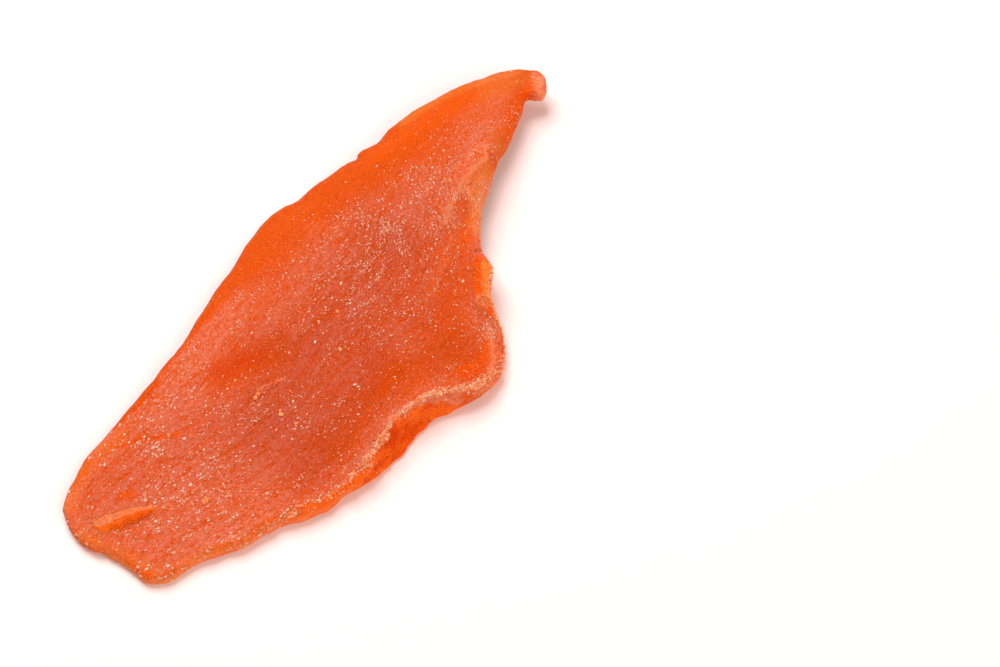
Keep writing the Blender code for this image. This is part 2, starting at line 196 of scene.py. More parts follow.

# Colour regions of the upper face, in millimetres in the part's frame: how far each stroke spreads, how
# strongly it shows, and its path. Bare places have no sugar bloom, deep ones are dark and saturated,
# glowing ones are thin or torn flesh painted bright and saturated as a glow of light through it, pale ones
# are dry and light, with some painted light, and the last list is painted shade, darkening the face.
LEFT_BARE_WIDTH = ((0, 0.8), (0.12, 0.9), (0.25, 1.4), (0.35, 2.8), (0.44, 6.1), (0.53, 10.8),
                   (0.66, 12.3), (0.78, 11.6), (0.86, 10.2), (0.93, 8), (1, 5.5))
LEFT_BARENESS = 0.96
LEFT_BARE_WANDER = ((0.0050,), (0.0012,))
BARE_FADE = (0.5, 1.3)  # shares of that width over which the bloom begins
BLOOM_SHARE = 0.62  # how much of the face the bloom covers where it is thickest
THIN_CLEARS = 0.8  # how much of the bloom a thin place takes away
BARE = (
    (12, 0.35, (-20, 0), (-8, 2), (8, -2)),
    (5.5, 0.75, (16, -9.5), (8, -13.5), (5, -20)),
    (5, 0.12, (44, 9), (54, 9)),
    (1.2, 0.6, (36, 0.2), (41, 1), (46, 2.6)),
    (1.3, 0.4, (20, -6.5), (27, -2.6)),
    (3, 0.75, (-22, 8.8), (-14, 5)),
    (3.6, 0.5, (-8, 14), (0, 15.5), (8, 16), (16, 15), (24, 14), (30, 13)),
    (3.5, 0.7, (-4, -13), (2, -16)),
    (1.6, 0.55, (28.5, -0.8), (33, -0.2)),
    (2.8, 0.78, (-20.5, -14.4), (-17, -13.5), (-11, -12.5), (-4, -13)),
    (4, 0.2, (31, 5.5), (26, 1.5)),
    (4, 0.18, (15, 5.5), (9, 1)),
    (2.2, 0.35, (10.4, 9.4), (18.5, 9.2), (26.6, 8.8), (34.8, 8.6), (44, 8)),
    (4, 0.3, (-25, -12.5), (-16, -10.5), (-10, -9.5), (-4, -7.5)),
)
DEEP_PLACES = (
    (2.4, 0.75, (-21.5, 9.6), (-18, 8.4), (-15.5, 6.4)),
    (1.2, 0.95, (-19, 9.2), (-17.6, 8.2)),
    (0.5, 0.5, (-39.9, 6.9), (-39.2, 6.3)),
)
# Lighter orange where the flesh is thin: painted glow of light through it, and less bloom there.
THIN = (
    (1.2, 0.5, (34.6, 18.3), (41.7, 16.2), (46.9, 13.7), (51.7, 11), (54.9, 9)),
    (2.4, 0.35, (47, 10.5), (53, 8)),
    (1.6, 0.45, (-57, 8), (-56, 0), (-54.5, -6.5)),
    (1.8, 0.35, (-55, 13), (-51.7, 14.4), (-48.1, 15.6), (-44.2, 16), (-40.6, 15.4)),
    (0.3, 0.35, (-1.8, 1.9), (-2.5, 0.8)),
    (1.2, 0.4, (43, 2.8), (39, 1.6)),
    # Painted light on the ridge's right flank, which slopes away from the key.
    (1.9, 0.7, (35, -0.2), (32, -1.6), (29, -3.2), (26, -5.4)),
)
# Painted glow: bright saturated orange where light shines through thin or torn flesh.
GLOWING = (
    (0.34, 0.8, (-41.8, 14.2), (-38.5, 12.1), (-36, 9.3), (-34.3, 7.7)),
    (1.8, 0.7, (26, 17.8), (30.9, 16.2), (36.4, 14), (44.4, 11.7)),
    (1.2, 0.7, (48.9, 5), (45.8, 3.6), (42.5, 2.2)),
    (0.5, 0.95, (0, -23.8), (1.5, -24.7)),
    (0.6, 0.7, (-47.8, 7.6), (-46.6, 6.6)),
    (1, 1, (54.2, 5.6), (52.9, 5.4), (51.4, 5.3)),
    (0.75, 0.9, (50.6, 5.7), (48.6, 4.8)),
    (0.65, 0.95, (35.8, 1.8), (36.9, 2.1)),
    (0.7, 0.75, (-56.4, 0.4), (-55.9, -2.5), (-55.2, -5)),
    (1.3, 0.6, (3, -20.8), (6, -21.8), (8.6, -21.4), (10.2, -20.2)),
    (1.6, 0.5, (17, -5), (23, -4.6)),
    (1, 0.45, (25.8, -1.6), (24.8, -3.6), (22, -6)),
    # Painted light on the ridge's right flank, which slopes away from the key.
    (0.35, 0.7, (34, -1), (31.5, -2.2), (29.5, -3.2)),
)
PALE = (
    (0.55, 0.6, (21.7, -1.5), (24.4, -0.6), (26.4, 0), (28.4, 0.5)),
    (0.45, 0.65, (28.4, 0.5), (30.9, 0.8), (33.8, 1.1)),
    (0.35, 0.8, (33.8, 1.1), (36.2, 1.2), (37.6, 2.6)),
    (0.65, 0.55, (26.8, 0.3), (28.4, -0.3)),
    # Painted light on the ridge's right flank, which slopes away from the key.
    (1.3, 0.5, (33, -1), (30, -2.6), (27.5, -4), (25.5, -5.6)),
    (1.8, 0.15, (49, 12.5), (54, 9.5)),
    (0.38, 0.85, (28.9, -0.6), (28.2, -2.2), (28.4, -3.4), (27.1, -5.3)),
    (0.13, 0.7, (-20.6, 2.7), (-19.6, 2.5), (-18.2, 1.7)),
    (0.13, 0.6, (-17.6, 1.5), (-16.9, 0.9), (-16, 0.6)),
    (0.8, 0.15, (8.7, -7.9), (14.8, -6.2), (20.6, -4), (26, -1.8)),
    (1.25, 0.95, (54.4, 3.6), (56, 5.4)),
    (2.2, 0.08, (41, 8), (46, 7.2), (50, 9)),
    (0.55, 0.5, (12.5, -18.5), (9.5, -22), (5, -25)),
    # Painted light on the ear's lower outer side, which faces away from the key.
    (0.6, 0.6, (15, -14.6), (14.5, -15.6), (14.7, -16.4)),
)
# Painted shade: places where the face is painted darker, as if it lay in shade.
PAINTED_SHADE = (
    (10.5, 0.95, (-23, -3), (-10, 0), (13, 3)),
    (6.5, 0.5, (6, -8), (5, -19)),
    (4.5, 0.8, (-25, -12.5), (-16, -10.5), (-10, -9.5), (-4, -7.5)),
    (8, 0.3, (-46, 10), (-34, 6)),
    (6, 0.12, (-50, -2), (-44, -6)),
)
# Along the right side: percent of the length, and how strongly the thin rim and the pale rim show. The thin
# rim is painted glow of light through the thin edge; the pale rim is the edge's paler flesh and a painted
# highlight where the edge catches the light.
THIN_RIM = shares(100, (0, 60), (3, 95), (20, 95), (27, 70), (31, 40), (35, 0), (100, 0))
PALE_RIM = shares(100, (0, 30), (5, 40), (24, 40), (29, 25), (33, 0), (50, 0), (53, 50), (57.5, 60),
                  (59, 100), (68, 100), (69, 0), (100, 0))
RIM_REACH = 0.0009
PALE_RIM_REACH = (0.00042, 0.00075)  # how far in from the outline the pale rim begins and ends its fade
PALE_RIM_COVERS = 0.8  # how much of the glow the pale rim hides
BORDER_REACH = (0.0004, 0.0009)  # how far in under the outline the upper face's colours reach
UNDER_BLOOM = 0.5  # on the underside, from this far in
UNDER_BLOOM_FADE = 0.006
# painted shade: the underside gets half of the painted light
UNDER_LIGHT = 0.5
# Painted light and shade on the lip's cut side: lit facets painted lighter, shaded ones darker.
CUT_PAINTED_LIGHT = (
    (1.2, 1, (-10, -17.9), (-7.5, -19.2), (-5.4, -20.8), (-3.5, -22.6)),
    (0.9, 0.9, (-3.5, -22.6), (-0.5, -24)),
    (0.8, 0.5, (-34, -16), (-29.3, -17.9), (-24.9, -19.4)),
)
CUT_PAINTED_SHADE = (
    (1.1, 0.15, (-12.7, -19.9), (-10.3, -20.3), (-8.6, -21)),
    (0.7, 0.5, (-19, -20.8), (-17, -20.6)),
)
CUT_SHADE = 0.66  # how light the cut side is painted, from 0 for its painted shade to 1 for its painted light
CUT_BRIGHTER = 0.3
CUT_DARKER = 0.15
CUT_LUMPS = 0.6
# The ear's inner face is painted glow, bright and saturated as light through a thin flap, and its edge is
# painted as the thin rim.
EAR_BASE = ((13.9, -16.9), (14.1, -15.2), (14.9, -13.6), (16.1, -12.2), (17.5, -11.4), (18.8, -10.1),
            (20.1, -9.3), (21.5, -9))
EAR_SPAN = ((0.580, 0.590), (0.678, 0.686))  # shares of length over which it begins and ends
EAR_FOOT = (-0.05, 0.20)  # out from its base, in millimetres, like the next two
EAR_GLOW = (0.8, 1.7)
EAR_THIN = (0.6, 1.5)
EAR_THINNESS = 0.8
LIP_BLEND = 0.0005  # over which the crest's band gives way to the cut side
LIP_SPAN = shares(100, (0, 0), (7, 10), (15, 50), (28, 65), (34, 85), (38, 100), (52, 100), (60, 40),
                  (66, 0))
LIP_BAND_WIDTH = ((0, 0.1), (0.2, 0.1), (0.3, 0.15), (0.38, 0.25), (0.43, 0.4), (0.47, 1.3), (0.51, 1.6),
                  (0.545, 0.7), (0.6, 0.3))
CREST_WANDER = ((0.0006,), (0.00012,))
CREST_FADE = (-0.0001, 0.0002)  # over which the pale crest begins, and over which the cut side does
CUT_FADE = (-0.0001, 0.0003)
CUT_ONSET = 0.2  # the lip's strength from which the cut shows fully
CREST_PALENESS = 0.52

# The flake at the blunt end: the line of its thin border, its width and height along that line, and its
# cross-section as (share of width, share of height), in millimetres in the part's frame
FLAKE_START = (-54.2, 8.4)
FLAKE_END = (-45.4, 1.9)
FLAKE_BOW = 0.8  # how far the thin border bows out between its ends
FLAKE_WIDTH = ((0, 0.8), (0.05, 2), (0.12, 2.9), (0.25, 3.5), (0.42, 3.5), (0.62, 2.9), (0.82, 1.9),
               (1, 0.4))
FLAKE_HEIGHT = ((0, -0.15), (0.1, 0.2), (0.25, 0.55), (0.45, 0.8), (0.65, 0.85), (0.85, 0.55), (1, -0.15))
FLAKE_SECTION = ((0, -0.3), (0.1, 0.1), (0.25, 0.5), (0.42, 0.82), (0.56, 1), (0.68, 0.94), (0.8, 0.66),
                 (0.92, 0.18), (1, -0.35))
FLAKE_UNEVEN = ((0.10,), (0.16,))  # the width's change along the line, as shares
FLAKE_SIDE = 0.58  # share of the width where the top gives way to the torn side
FLAKE_SIDE_WANDER = ((0.0008,), (0.03,))
FLAKE_SIDE_BLEND = 0.03
FLAKE_ROOT = 0.0008  # how deep it is let into the flesh
FLAKE_GRID = (110, 44)
FLAKE_ROUGH = ((0.0014, 0.0006, 0.0003), (0.00020, 0.00016, 0.00007))
FLAKE_ROUGH_FADE = 0.1
FLAKE_SHADE = 0.9  # how light its torn side is painted, near the cut side's lit colour, and how that changes
FLAKE_LUMPS = ((0.0012,), (0.3,))
FLAKE_TOP = {"bloom": 0.5, "wet": 0.0, "glow": 0.0, "thin": 0.3, "pale": 0.35}  # colours of its dry top

# Sugar and crumbs: counts, and sizes in metres. A spread is the two numbers of a beta distribution.
GRAIN_COUNT = 4400
GRAIN_LENGTH = (0.00014, 0.00048)
GRAIN_SPREAD = (1.3, 3.6)
GRAIN_TINTS = (1.1, 1.3)
COARSE_END = (-0.040, -0.015)  # places along the slice between which the grains are coarser and finer
COARSER = 1.35
UNDER_GRAIN_COUNT = 700
UNDER_GRAIN_LENGTH = (0.00016, 0.00034)
UNDER_GRAIN_TINTS = (1.3, 1.6)
UNDER_GRAIN_EDGE = 0.002
LOWEST_UNDER_GRAIN = 0.0006  # lower ones would be pressed into the table
DUST_COUNT = 15000
DUST_LENGTH = (0.00008, 0.00020)
DUST_TINTS = (1.2, 1.4)
DUST_EVENNESS = 0.9
LIP_CRUMB_COUNT = 1500
LIP_CRUMB_SIZE = (0.00012, 0.00062)
LIP_CRUMB_SPREAD = (1.1, 2.8)
LIP_CRUMB_TINTS = (0.5, 0.9)
LIP_CRUMB_CLUMPS = ((0.0022,), (1.2,))
CRUMB_OFFSET = 0.00022  # from the band's crest towards the face
CRUMB_REACH = 0.00034
# Percent of the length, and how many of them lie there
CRUMB_SHARE = shares(100, (0, 30), (18, 35), (24, 80), (30, 100), (100, 100))
EAR_CRUMBS = 0.25  # how densely they lie on the ear's edge, next to the crest
EAR_CRUMB_PLACE = 0.00034
EAR_CRUMB_REACH = 0.00022
CRUMB_COUNT = 46
CRUMB_SIZE = (0.00020, 0.00048)
CRUMB_TINTS = (0.2, 1.0)
# The ones that stand out: (x, y, size) in millimetres
NAMED_CRUMBS = ((-21.3, 2.1, 1), (-21.9, 2, 0.7), (-21.5, -3.1, 0.85), (-21.1, -2.6, 0.6),
                (-6.9, -3.1, 0.75), (-35.5, 8.7, 0.95), (-40.7, -3.3, 0.6), (-40.4, -3.5, 0.8),
                (-40, -3.5, 0.7), (-39.7, -3.7, 0.6), (-1.9, 1.7, 0.7))
NAMED_GRAINS = ((-18.6, -3.2, 0.5), (-8.3, 1.1, 0.55), (-22.1, -6.6, 0.45), (-10.2, -9.1, 0.5),
                (-10.1, -9.7, 0.45), (-10.3, -10.2, 0.4), (2.6, 4.9, 0.6), (-0.5, 4.2, 0.5),
                (-0.3, 3.3, 0.38), (6.4, 1.6, 0.5), (7.5, 1.2, 0.45), (1.9, 13.2, 0.48),
                (1.3, 14.4, 0.45), (-13.2, 10.7, 0.42), (15.8, -10.4, 0.5), (16, -7.7, 0.42),
                (-39.6, 0.2, 0.65), (-37.7, -0.3, 0.6), (-33.8, 2.6, 0.48), (-46, 14.1, 0.55),
                (-45.5, 13.6, 0.55), (-38.6, 9.4, 0.5), (-54.4, -2.6, 0.5), (-54.6, -4.3, 0.5),
                (-33.1, -10.3, 0.6), (-34.6, -14.6, 0.55), (-33.9, -14.7, 0.55), (-33.2, -14.8, 0.5),
                (-42.3, -11.1, 0.48))
# Where grains lie densely: (x, y, reach) in millimetres, and how many times denser
DENSE = ((9.7, 6.5, 7, 1.6), (7, -9.5, 6, 0.7), (-38, -3, 8, 0.7), (-48, 2, 8, 0.5), (22, 4, 8, 1.3),
         (11.9, -18.4, 2.4, 3.5), (28, 3, 3.5, 2))
# Where they lie thinly
SPARSE = ((-18.4, 8.2, 4.5), (5, -15, 6), (-8, -12, 7), (2, 21, 4), (-26, -11.5, 7), (-33, -9, 5),
          (-14.5, 3, 6.5), (-47, 12, 6), (-27, -5.5, 5))
SPARSENESS = 0.75
LEFT_SUGAR = 0.10  # of the sugar elsewhere, on the bare left margin
LEFT_SUGAR_FADE = (0.4, 1.3)
CUT_CLEAR = 0.85  # share of the sugar that the cut side lacks
CUT_CLEAR_FADE = (0.0004, 0.0012)
CUT_CLEAR_ONSET = 0.3
CLUMPS = ((0.0030,), (1.0,))
CLUMP_STREAKS = ((0.0006,), (1.5,))  # along the fibres, and stretched
STREAK_STRETCH = 7
CLUMPING = 0.9

# Small bodies: how far they turn from the fibres and tilt, their widths and heights as shares of their
# length, how unevenly their corners stand out, and how high they sit, as shares of their height or radius
GRAIN_TURN = (0.45, 0.30)
GRAIN_WIDTHS = (0.35, 0.75)
GRAIN_HEIGHTS = (0.3, 0.6)
GRAIN_JITTER = (0.65, 1.15)
GRAIN_LIFT = (-0.7, 0.4)
BLOCK_CORNERS = [(x, y, z) for x in (-1, 1) for y in (-1, 1) for z in (-1, 1)]
BLOCK_SIDES = ((0, 1, 3, 2), (4, 6, 7, 5), (0, 4, 5, 1), (2, 3, 7, 6), (0, 2, 6, 4), (1, 5, 7, 3))
SPECK_TURN = (0.8, 0.3)
SPECK_JITTER = (0.6, 1.2)
SPECK_CORNERS = ((1, 0, -0.3), (-0.6, 0.8, -0.3), (-0.6, -0.8, -0.3), (-0.1, 0, 0.8))
SPECK_SIDES = ((0, 1, 3), (1, 2, 3), (2, 0, 3), (0, 2, 1))
LUMP_TURN = (1.2, 0.4)
LUMP_SIZES = ((0.9, 1.5), (0.7, 1.0), (0.5, 0.8))
LUMP_WAVES = 3.1  # how fast a crumb's waves run, and how high they are
LUMP_WAVE = 0.16
LUMP_JITTER = 0.12
LUMP_LIFT = 0.25

# Colours, as linear red, green and blue
# The first two oranges and the two blooms are each a shaded and a lit copy of one colour, for painted shade
# and painted light. GLOW and THIN_ORANGE paint the glow of light through thin or torn flesh.
ORANGE_SHADED = (0.5, 0.0562, 0.000893, 1.0)
ORANGE_LIGHT = (0.661, 0.0839, 0.000893, 1.0)
DEEP = (0.562, 0.0464, 0.000893, 1.0)
GLOW = (0.768, 0.0946, 0.000893, 1.0)
THIN_ORANGE = (0.804, 0.205, 0.0268, 1.0)
BLOOM_SHADED = (0.522, 0.109, 0.0625, 1.0)
BLOOM_LIGHT = (0.683, 0.17, 0.0875, 1.0)
PALE_ORANGE = (0.875, 0.339, 0.161, 1.0)
# The two cut colours are the cut side's painted shade and painted light.
CUT_SHADED = (0.696, 0.0536, 0.000893, 1.0)
CUT_LIGHT = (0.893, 0.148, 0.0100, 1.0)
SUGAR = (0.839, 0.554, 0.429, 1.0)
SUGAR_STAINED = (0.75, 0.25, 0.116, 1.0)
CRUMB = (0.85, 0.33, 0.11, 1.0)
CRUMB_DEEP = (0.786, 0.152, 0.0134, 1.0)
LIP_CRUMB = (0.893, 0.56, 0.37, 1.0)
LIP_CRUMB_DEEP = (0.848, 0.187, 0.0357, 1.0)
FLOOR = (0.93, 0.86, 0.85, 1.0)

# Patterns of the flesh's colour: (size of the lumps along, across and up), layers of detail
PATTERNS = (
    ((0.014, 0.007, 0.007), 2.0),  # broad
    ((0.0022, 0.0012, 0.0012), 2.0),  # patches
    ((0.00066, 0.00034, 0.00034), 2.0),  # mosaic
    ((0.0060, 0.00045, 0.00060), 2.0),  # fibres
    ((0.00032, 0.00020, 0.00020), 1.0),  # fine
    ((0.022, 0.0010, 0.0014), 2.0),  # streaks
)
PATTERN_ROUGHNESS = 0.6
# The range of each pattern's noise that is used, and how far it raises or lowers the bloom
BLOOM_PATTERNS = (
    (0.34, 0.66, 1.10),  # mosaic
    (0.30, 0.70, 0.50),  # patches
    (0.30, 0.70, 0.15),  # broad
    (0.32, 0.68, 0.60),  # streaks
)
# The range that is used of other patterns and regions, and what it becomes
FIBRE_SHADE = (0.40, 0.70, 0.0, 0.35)
DEEP_STREAKS = (0.34, 0.66, 0.40, 1.25)
CUT_RANGE = (0.25, 0.85)
DRY_RANGE = (0.75, 1.20, 0.40, 1.0)
SPECKLE_RANGE = (0.30, 0.70)
SPECKLE_DARK = (0.72, 0.68, 0.58, 1.0)
SPECKLE_LIGHT = (1.22, 1.28, 1.42, 1.0)
FLESH_ROUGHNESS = (0.56, 0.34)  # where it is dull and where it is wet
CUT_GLOSS = 0.7  # how wet a cut or glowing place looks
FINE_BUMP = 0.00010
MOSAIC_BUMP = 0.00016
FLESH_SPECULAR = 0.03
FLESH_DEPTH = {"weight": 0.45, "scale": 0.0020, "radius": (1.0, 0.18, 0.05)}
SUGAR_DEPTH = {"weight": 0.3, "scale": 0.0004, "radius": (1.0, 0.6, 0.5)}
SUGAR_SPECULAR = 0.5
SUGAR_ROUGHNESS = 0.35
CRUMB_ROUGHNESS = 0.45
LIP_CRUMB_ROUGHNESS = 0.5

# Camera and light
CAMERA_TURN = -51.0  # degrees about +Z
CAMERA_ELEVATION = 60.0
CAMERA_DISTANCE = 0.393
CAMERA_AIM = (0.01422, -0.01961, 0.0)
CAMERA_LENS = 85.0
SENSOR = 36.0
CAMERA_CLIP = 0.01
WORLD_STRENGTH = 0.38
WORLD_COLOUR = (1.0, 0.64, 0.53, 1.0)  # warm, as light that has come back from the fruit and the table
KEY_LIGHT = {"place": (0.22, 0.50, 0.78), "size": 0.70, "power": 10.2, "colour": (0.97, 0.98, 1.0)}
FILL_LIGHT = {"place": (-0.10, -0.80, 0.62), "size": 0.70, "power": 5.6, "colour": (1.0, 0.84, 0.76)}
FLOOR_REACH = 3.0
FLOOR_ROUGHNESS = 0.9


def through(points, at):
    """The values at these places of the smooth curve through (place, value) points."""
    places, values = np.array(points, float).T
    slopes = np.gradient(values, places)
    span = np.clip(np.searchsorted(places, at) - 1, 0, len(places) - 2)
    gap = places[span + 1] - places[span]
    s = np.clip((at - places[span]) / gap, 0.0, 1.0)
    start = (1 + 2 * s) * (1 - s) ** 2 * values[span] + s * (1 - s) ** 2 * gap * slopes[span]
    end = s * s * (3 - 2 * s) * values[span + 1] - s * s * (1 - s) * gap * slopes[span + 1]
    return start + end


def portion(points, at):
    """The same values, kept between 0 and 1."""
    return np.clip(through(points, at), 0, 1)


def between(span, share):
    """The value at this share of the way from the first number to the second."""
    return span[0] + (span[1] - span[0]) * share


def smooth(value, low, high):
    """0 below low, 1 above high, and a smooth step between them."""
    s = np.clip((value - low) / (high - low), 0, 1)
    return s * s * (3 - 2 * s)


def unit(vectors):
    """The same directions, at length 1."""
    return vectors / np.maximum(np.linalg.norm(vectors, axis=-1, keepdims=True), 1e-12)


def bell(x, y, centre_x, centre_y, reach):
    """1 at a centre, falling away over the reach."""
    return np.exp(-((x - centre_x) ** 2 + (y - centre_y) ** 2) / reach**2)


def border(grid):
    """What lies round the border of a grid, in order."""
    return np.concatenate([grid[0, :-1], grid[:-1, -1], grid[-1, :0:-1], grid[:0:-1, 0]])


def cell_corners(grid):
    """The four corners of every cell of a grid, in order round the cell."""
    return grid[:-1, :-1], grid[1:, :-1], grid[1:, 1:], grid[:-1, 1:]


def noise(x, y, size, seed):
    """Smooth noise between -1 and 1, with lumps of this size. Each seed has its own pattern."""
    draws = np.random.default_rng(seed)
    table = draws.uniform(-1, 1, (LATTICE, LATTICE))
    turn = draws.uniform(0, math.tau)
    gx = (x * math.cos(turn) - y * math.sin(turn)) / size + LATTICE_START
    gy = (x * math.sin(turn) + y * math.cos(turn)) / size + LATTICE_START
    ix, iy = np.floor(gx).astype(int), np.floor(gy).astype(int)
    fx, fy = gx - ix, gy - iy
    fx, fy = fx * fx * (3 - 2 * fx), fy * fy * (3 - 2 * fy)
    near_row, far_row = ix % LATTICE, (ix + 1) % LATTICE
    low, high = (table[near_row, column] * (1 - fx) + table[far_row, column] * fx
                 for column in (iy % LATTICE, (iy + 1) % LATTICE))
    return low * (1 - fy) + high * fy


def layered(x, y, sizes, heights, seed):
    """Several noises of these sizes and heights, added."""
    return sum(h * noise(x, y, size, seed + k) for k, (size, h) in enumerate(zip(sizes, heights)))


def cells_from_edge(reach):
    """Distances in from an edge: close together beside it, and then EDGE_CELL apart."""
    places, cell = [0.0], FIRST_CELL
    while places[-1] < reach:
        places.append(places[-1] + cell)
        cell = min(cell * CELL_GROWTH, EDGE_CELL)
    return tuple(places)


def steps(width, count, low, high):
    """Distances from one edge of count + 1 places across strips of these widths. The first ones are low,
    the last ones are high, measured from the other edge, and the rest are spread evenly between them."""
    low = np.array(low)[None, :] * np.minimum(1, NARROW_RIGHT * width / low[-1])[:, None]
    high = np.array(high)[None, :] * np.minimum(1, NARROW_LEFT * width / high[-1])[:, None]
    inner = count - low.shape[1] - high.shape[1] + 2
    share = np.linspace(0, 1, inner + 1)[None, :]
    far = width[:, None]
    first, last = low[:, -1:], far - high[:, -1:]
    return np.concatenate([low[:, :-1], first + share * (last - first), far - high[:, -2::-1]], axis=1)


def softened(line):
    """A line of values with its short steps smoothed away."""
    reach = np.arange(-3 * SOFTENING, 3 * SOFTENING + 1)
    weights = np.exp(-((reach / SOFTENING) ** 2))
    return np.convolve(np.pad(line, 3 * SOFTENING, mode="edge"), weights / weights.sum(), mode="valid")


def plan(rows, columns):
    """(x, y, across, half, bow): the sheet's points seen from above, their places across the width, half
    the width there, and their places across a plainer outline, for the arch."""
    first, last = LEFT_EDGE[0][0] * LENGTH, LEFT_EDGE[-1][0] * LENGTH
    fine, coarse = cells_from_edge(RIGHT_REACH), cells_from_edge(LEFT_REACH)
    along = first + steps(np.array([last - first]), rows, coarse, coarse)[0]
    share = along / LENGTH
    left = through(LEFT_EDGE, share) * WIDTH + layered(along, 0 * along, *RAGGED_LEFT, seed=11)
    right = through(RIGHT_EDGE, share) * WIDTH + layered(along, 0 * along, *RAGGED_RIGHT, seed=21)
    inward = steps(left - right, columns, fine, coarse)
    y = right[:, None] + inward
    across = 2 * inward / (left - right)[:, None] - 1
    plain_left, plain_right = softened(left), softened(right)
    bow = np.clip(2 * (y - plain_right[:, None]) / (plain_left - plain_right)[:, None] - 1, -1, 1)
    near_blunt = np.clip(1 - (along - first) / (END_FADE * LENGTH), 0, 1)[:, None] ** 2
    near_tip = np.clip(1 - (last - along) / (END_FADE * LENGTH), 0, 1)[:, None] ** 2
    uneven = layered(y, 0 * y, *RAGGED_END, seed=31) * (1 - across**4)
    bulge = near_tip * through(TIP_END, across) - near_blunt * through(BLUNT_END, across)
    half = np.broadcast_to((left - right)[:, None] / 2, y.shape)
    return along[:, None] + bulge * LENGTH - near_blunt * uneven, y, across, half, bow


def nearest_on_path(x, y, path):
    """(distance, height, side) at each point, for the nearest place on a path of (x, y, height).
    Side is positive to the left of the path, looking along it."""
    best = np.full(x.shape, np.inf)
    height, side = np.zeros(x.shape), np.zeros(x.shape)
    for (ax, ay, ah), (bx, by, bh) in zip(path[:-1], path[1:]):
        dx, dy = bx - ax, by - ay
        s = np.clip(((x - ax) * dx + (y - ay) * dy) / (dx * dx + dy * dy), 0, 1)
        away = np.hypot(x - ax - s * dx, y - ay - s * dy)
        nearer = away < best
        best = np.where(nearer, away, best)
        height = np.where(nearer, ah + s * (bh - ah), height)
        side = np.where(nearer, np.sign(dx * (y - ay) - dy * (x - ax)), side)
    return best, height, side


def from_stroke(x, y, path):
    """(distance, side) in millimetres from a path of (x, y) millimetres, at points in metres."""
    away, _, side = nearest_on_path(x / MM, y / MM, [(*point, 0.0) for point in path])
    return away, side


def edge_distance(x, y):
    """Distance in plan from each point of the sheet to its outline, which is the border of the grid."""
    ring = [(px, py, 0.0) for px, py in zip(border(x)[::2], border(y)[::2])]
    distance, _, _ = nearest_on_path(x, y, ring + ring[:1])
    distance[[0, -1]] = 0.0
    distance[:, [0, -1]] = 0.0
    return distance


def lip_distance(x, y):
    """Distance from the lip's crest line, positive on its outer side, where the cut is."""
    away, _, side = nearest_on_path(x, y, MARKS["lip"]["path"])
    return away * -side


def relief(x, y, path, reach):
    """Height that one fold or mark adds at each point."""
    away, height, side = nearest_on_path(x, y, path)
    return height * np.exp(-((away / np.where(side > 0, reach[0], reach[1])) ** 2))


def knobs(x, y):
    """Height that the seeded knobs along the lip add at each point."""
    draws = np.random.default_rng(KNOB_SEED)
    crest = [(px, py) for px, py, _ in MARKS["lip"]["path"]]
    total = np.zeros(x.shape)
    for centre_x in np.linspace(*KNOB_SPAN, KNOBS) * LENGTH:
        centre_y = through(crest, centre_x) + draws.uniform(-KNOB_SCATTER, KNOB_SCATTER)
        height, radius = draws.uniform(*KNOB_HEIGHT), draws.uniform(*KNOB_RADIUS)
        total += height * bell(x, y, centre_x, centre_y, radius)
    return total


def arch(share, across):
    """Height of the middle layer before the folds: an arch between the two edges, highest on the spine."""
    left, spine, right = (through(t, share) * RISE for t in (LEFT_HEIGHT, SPINE_HEIGHT, RIGHT_HEIGHT))
    top = through(SPINE_PLACE, share)
    to_left = np.clip((across - top) / (1 - top), 0, 1)
    to_right = np.clip((top - across) / (top + 1), 0, 1)
    return spine - (spine - left) * to_left**2 - (spine - right) * to_right**2


def thickness(share, across):
    """Thickness of the sheet, which changes from the middle towards each edge."""
    middle = through(MIDDLE_THICKNESS, share)
    edge = np.where(across > 0, through(LEFT_THICKNESS, share), through(RIGHT_THICKNESS, share))
    return THICKNESS * (middle + (edge - middle) * np.abs(across) ** THICKNESS_POWER)


def fullness(distance, rounding, squareness):
    """Share of the full thickness at this distance from the outline, from 0 there to 1."""
    left = 1 - np.clip(distance / rounding, 0, 1)
    return (1 - left**squareness) ** (1 / squareness)


def normals(points):
    """Unit normals of the surface over a grid of points, facing up."""
    cross = np.cross(np.gradient(points, axis=0), np.gradient(points, axis=1))
    return cross / np.linalg.norm(cross, axis=-1, keepdims=True)


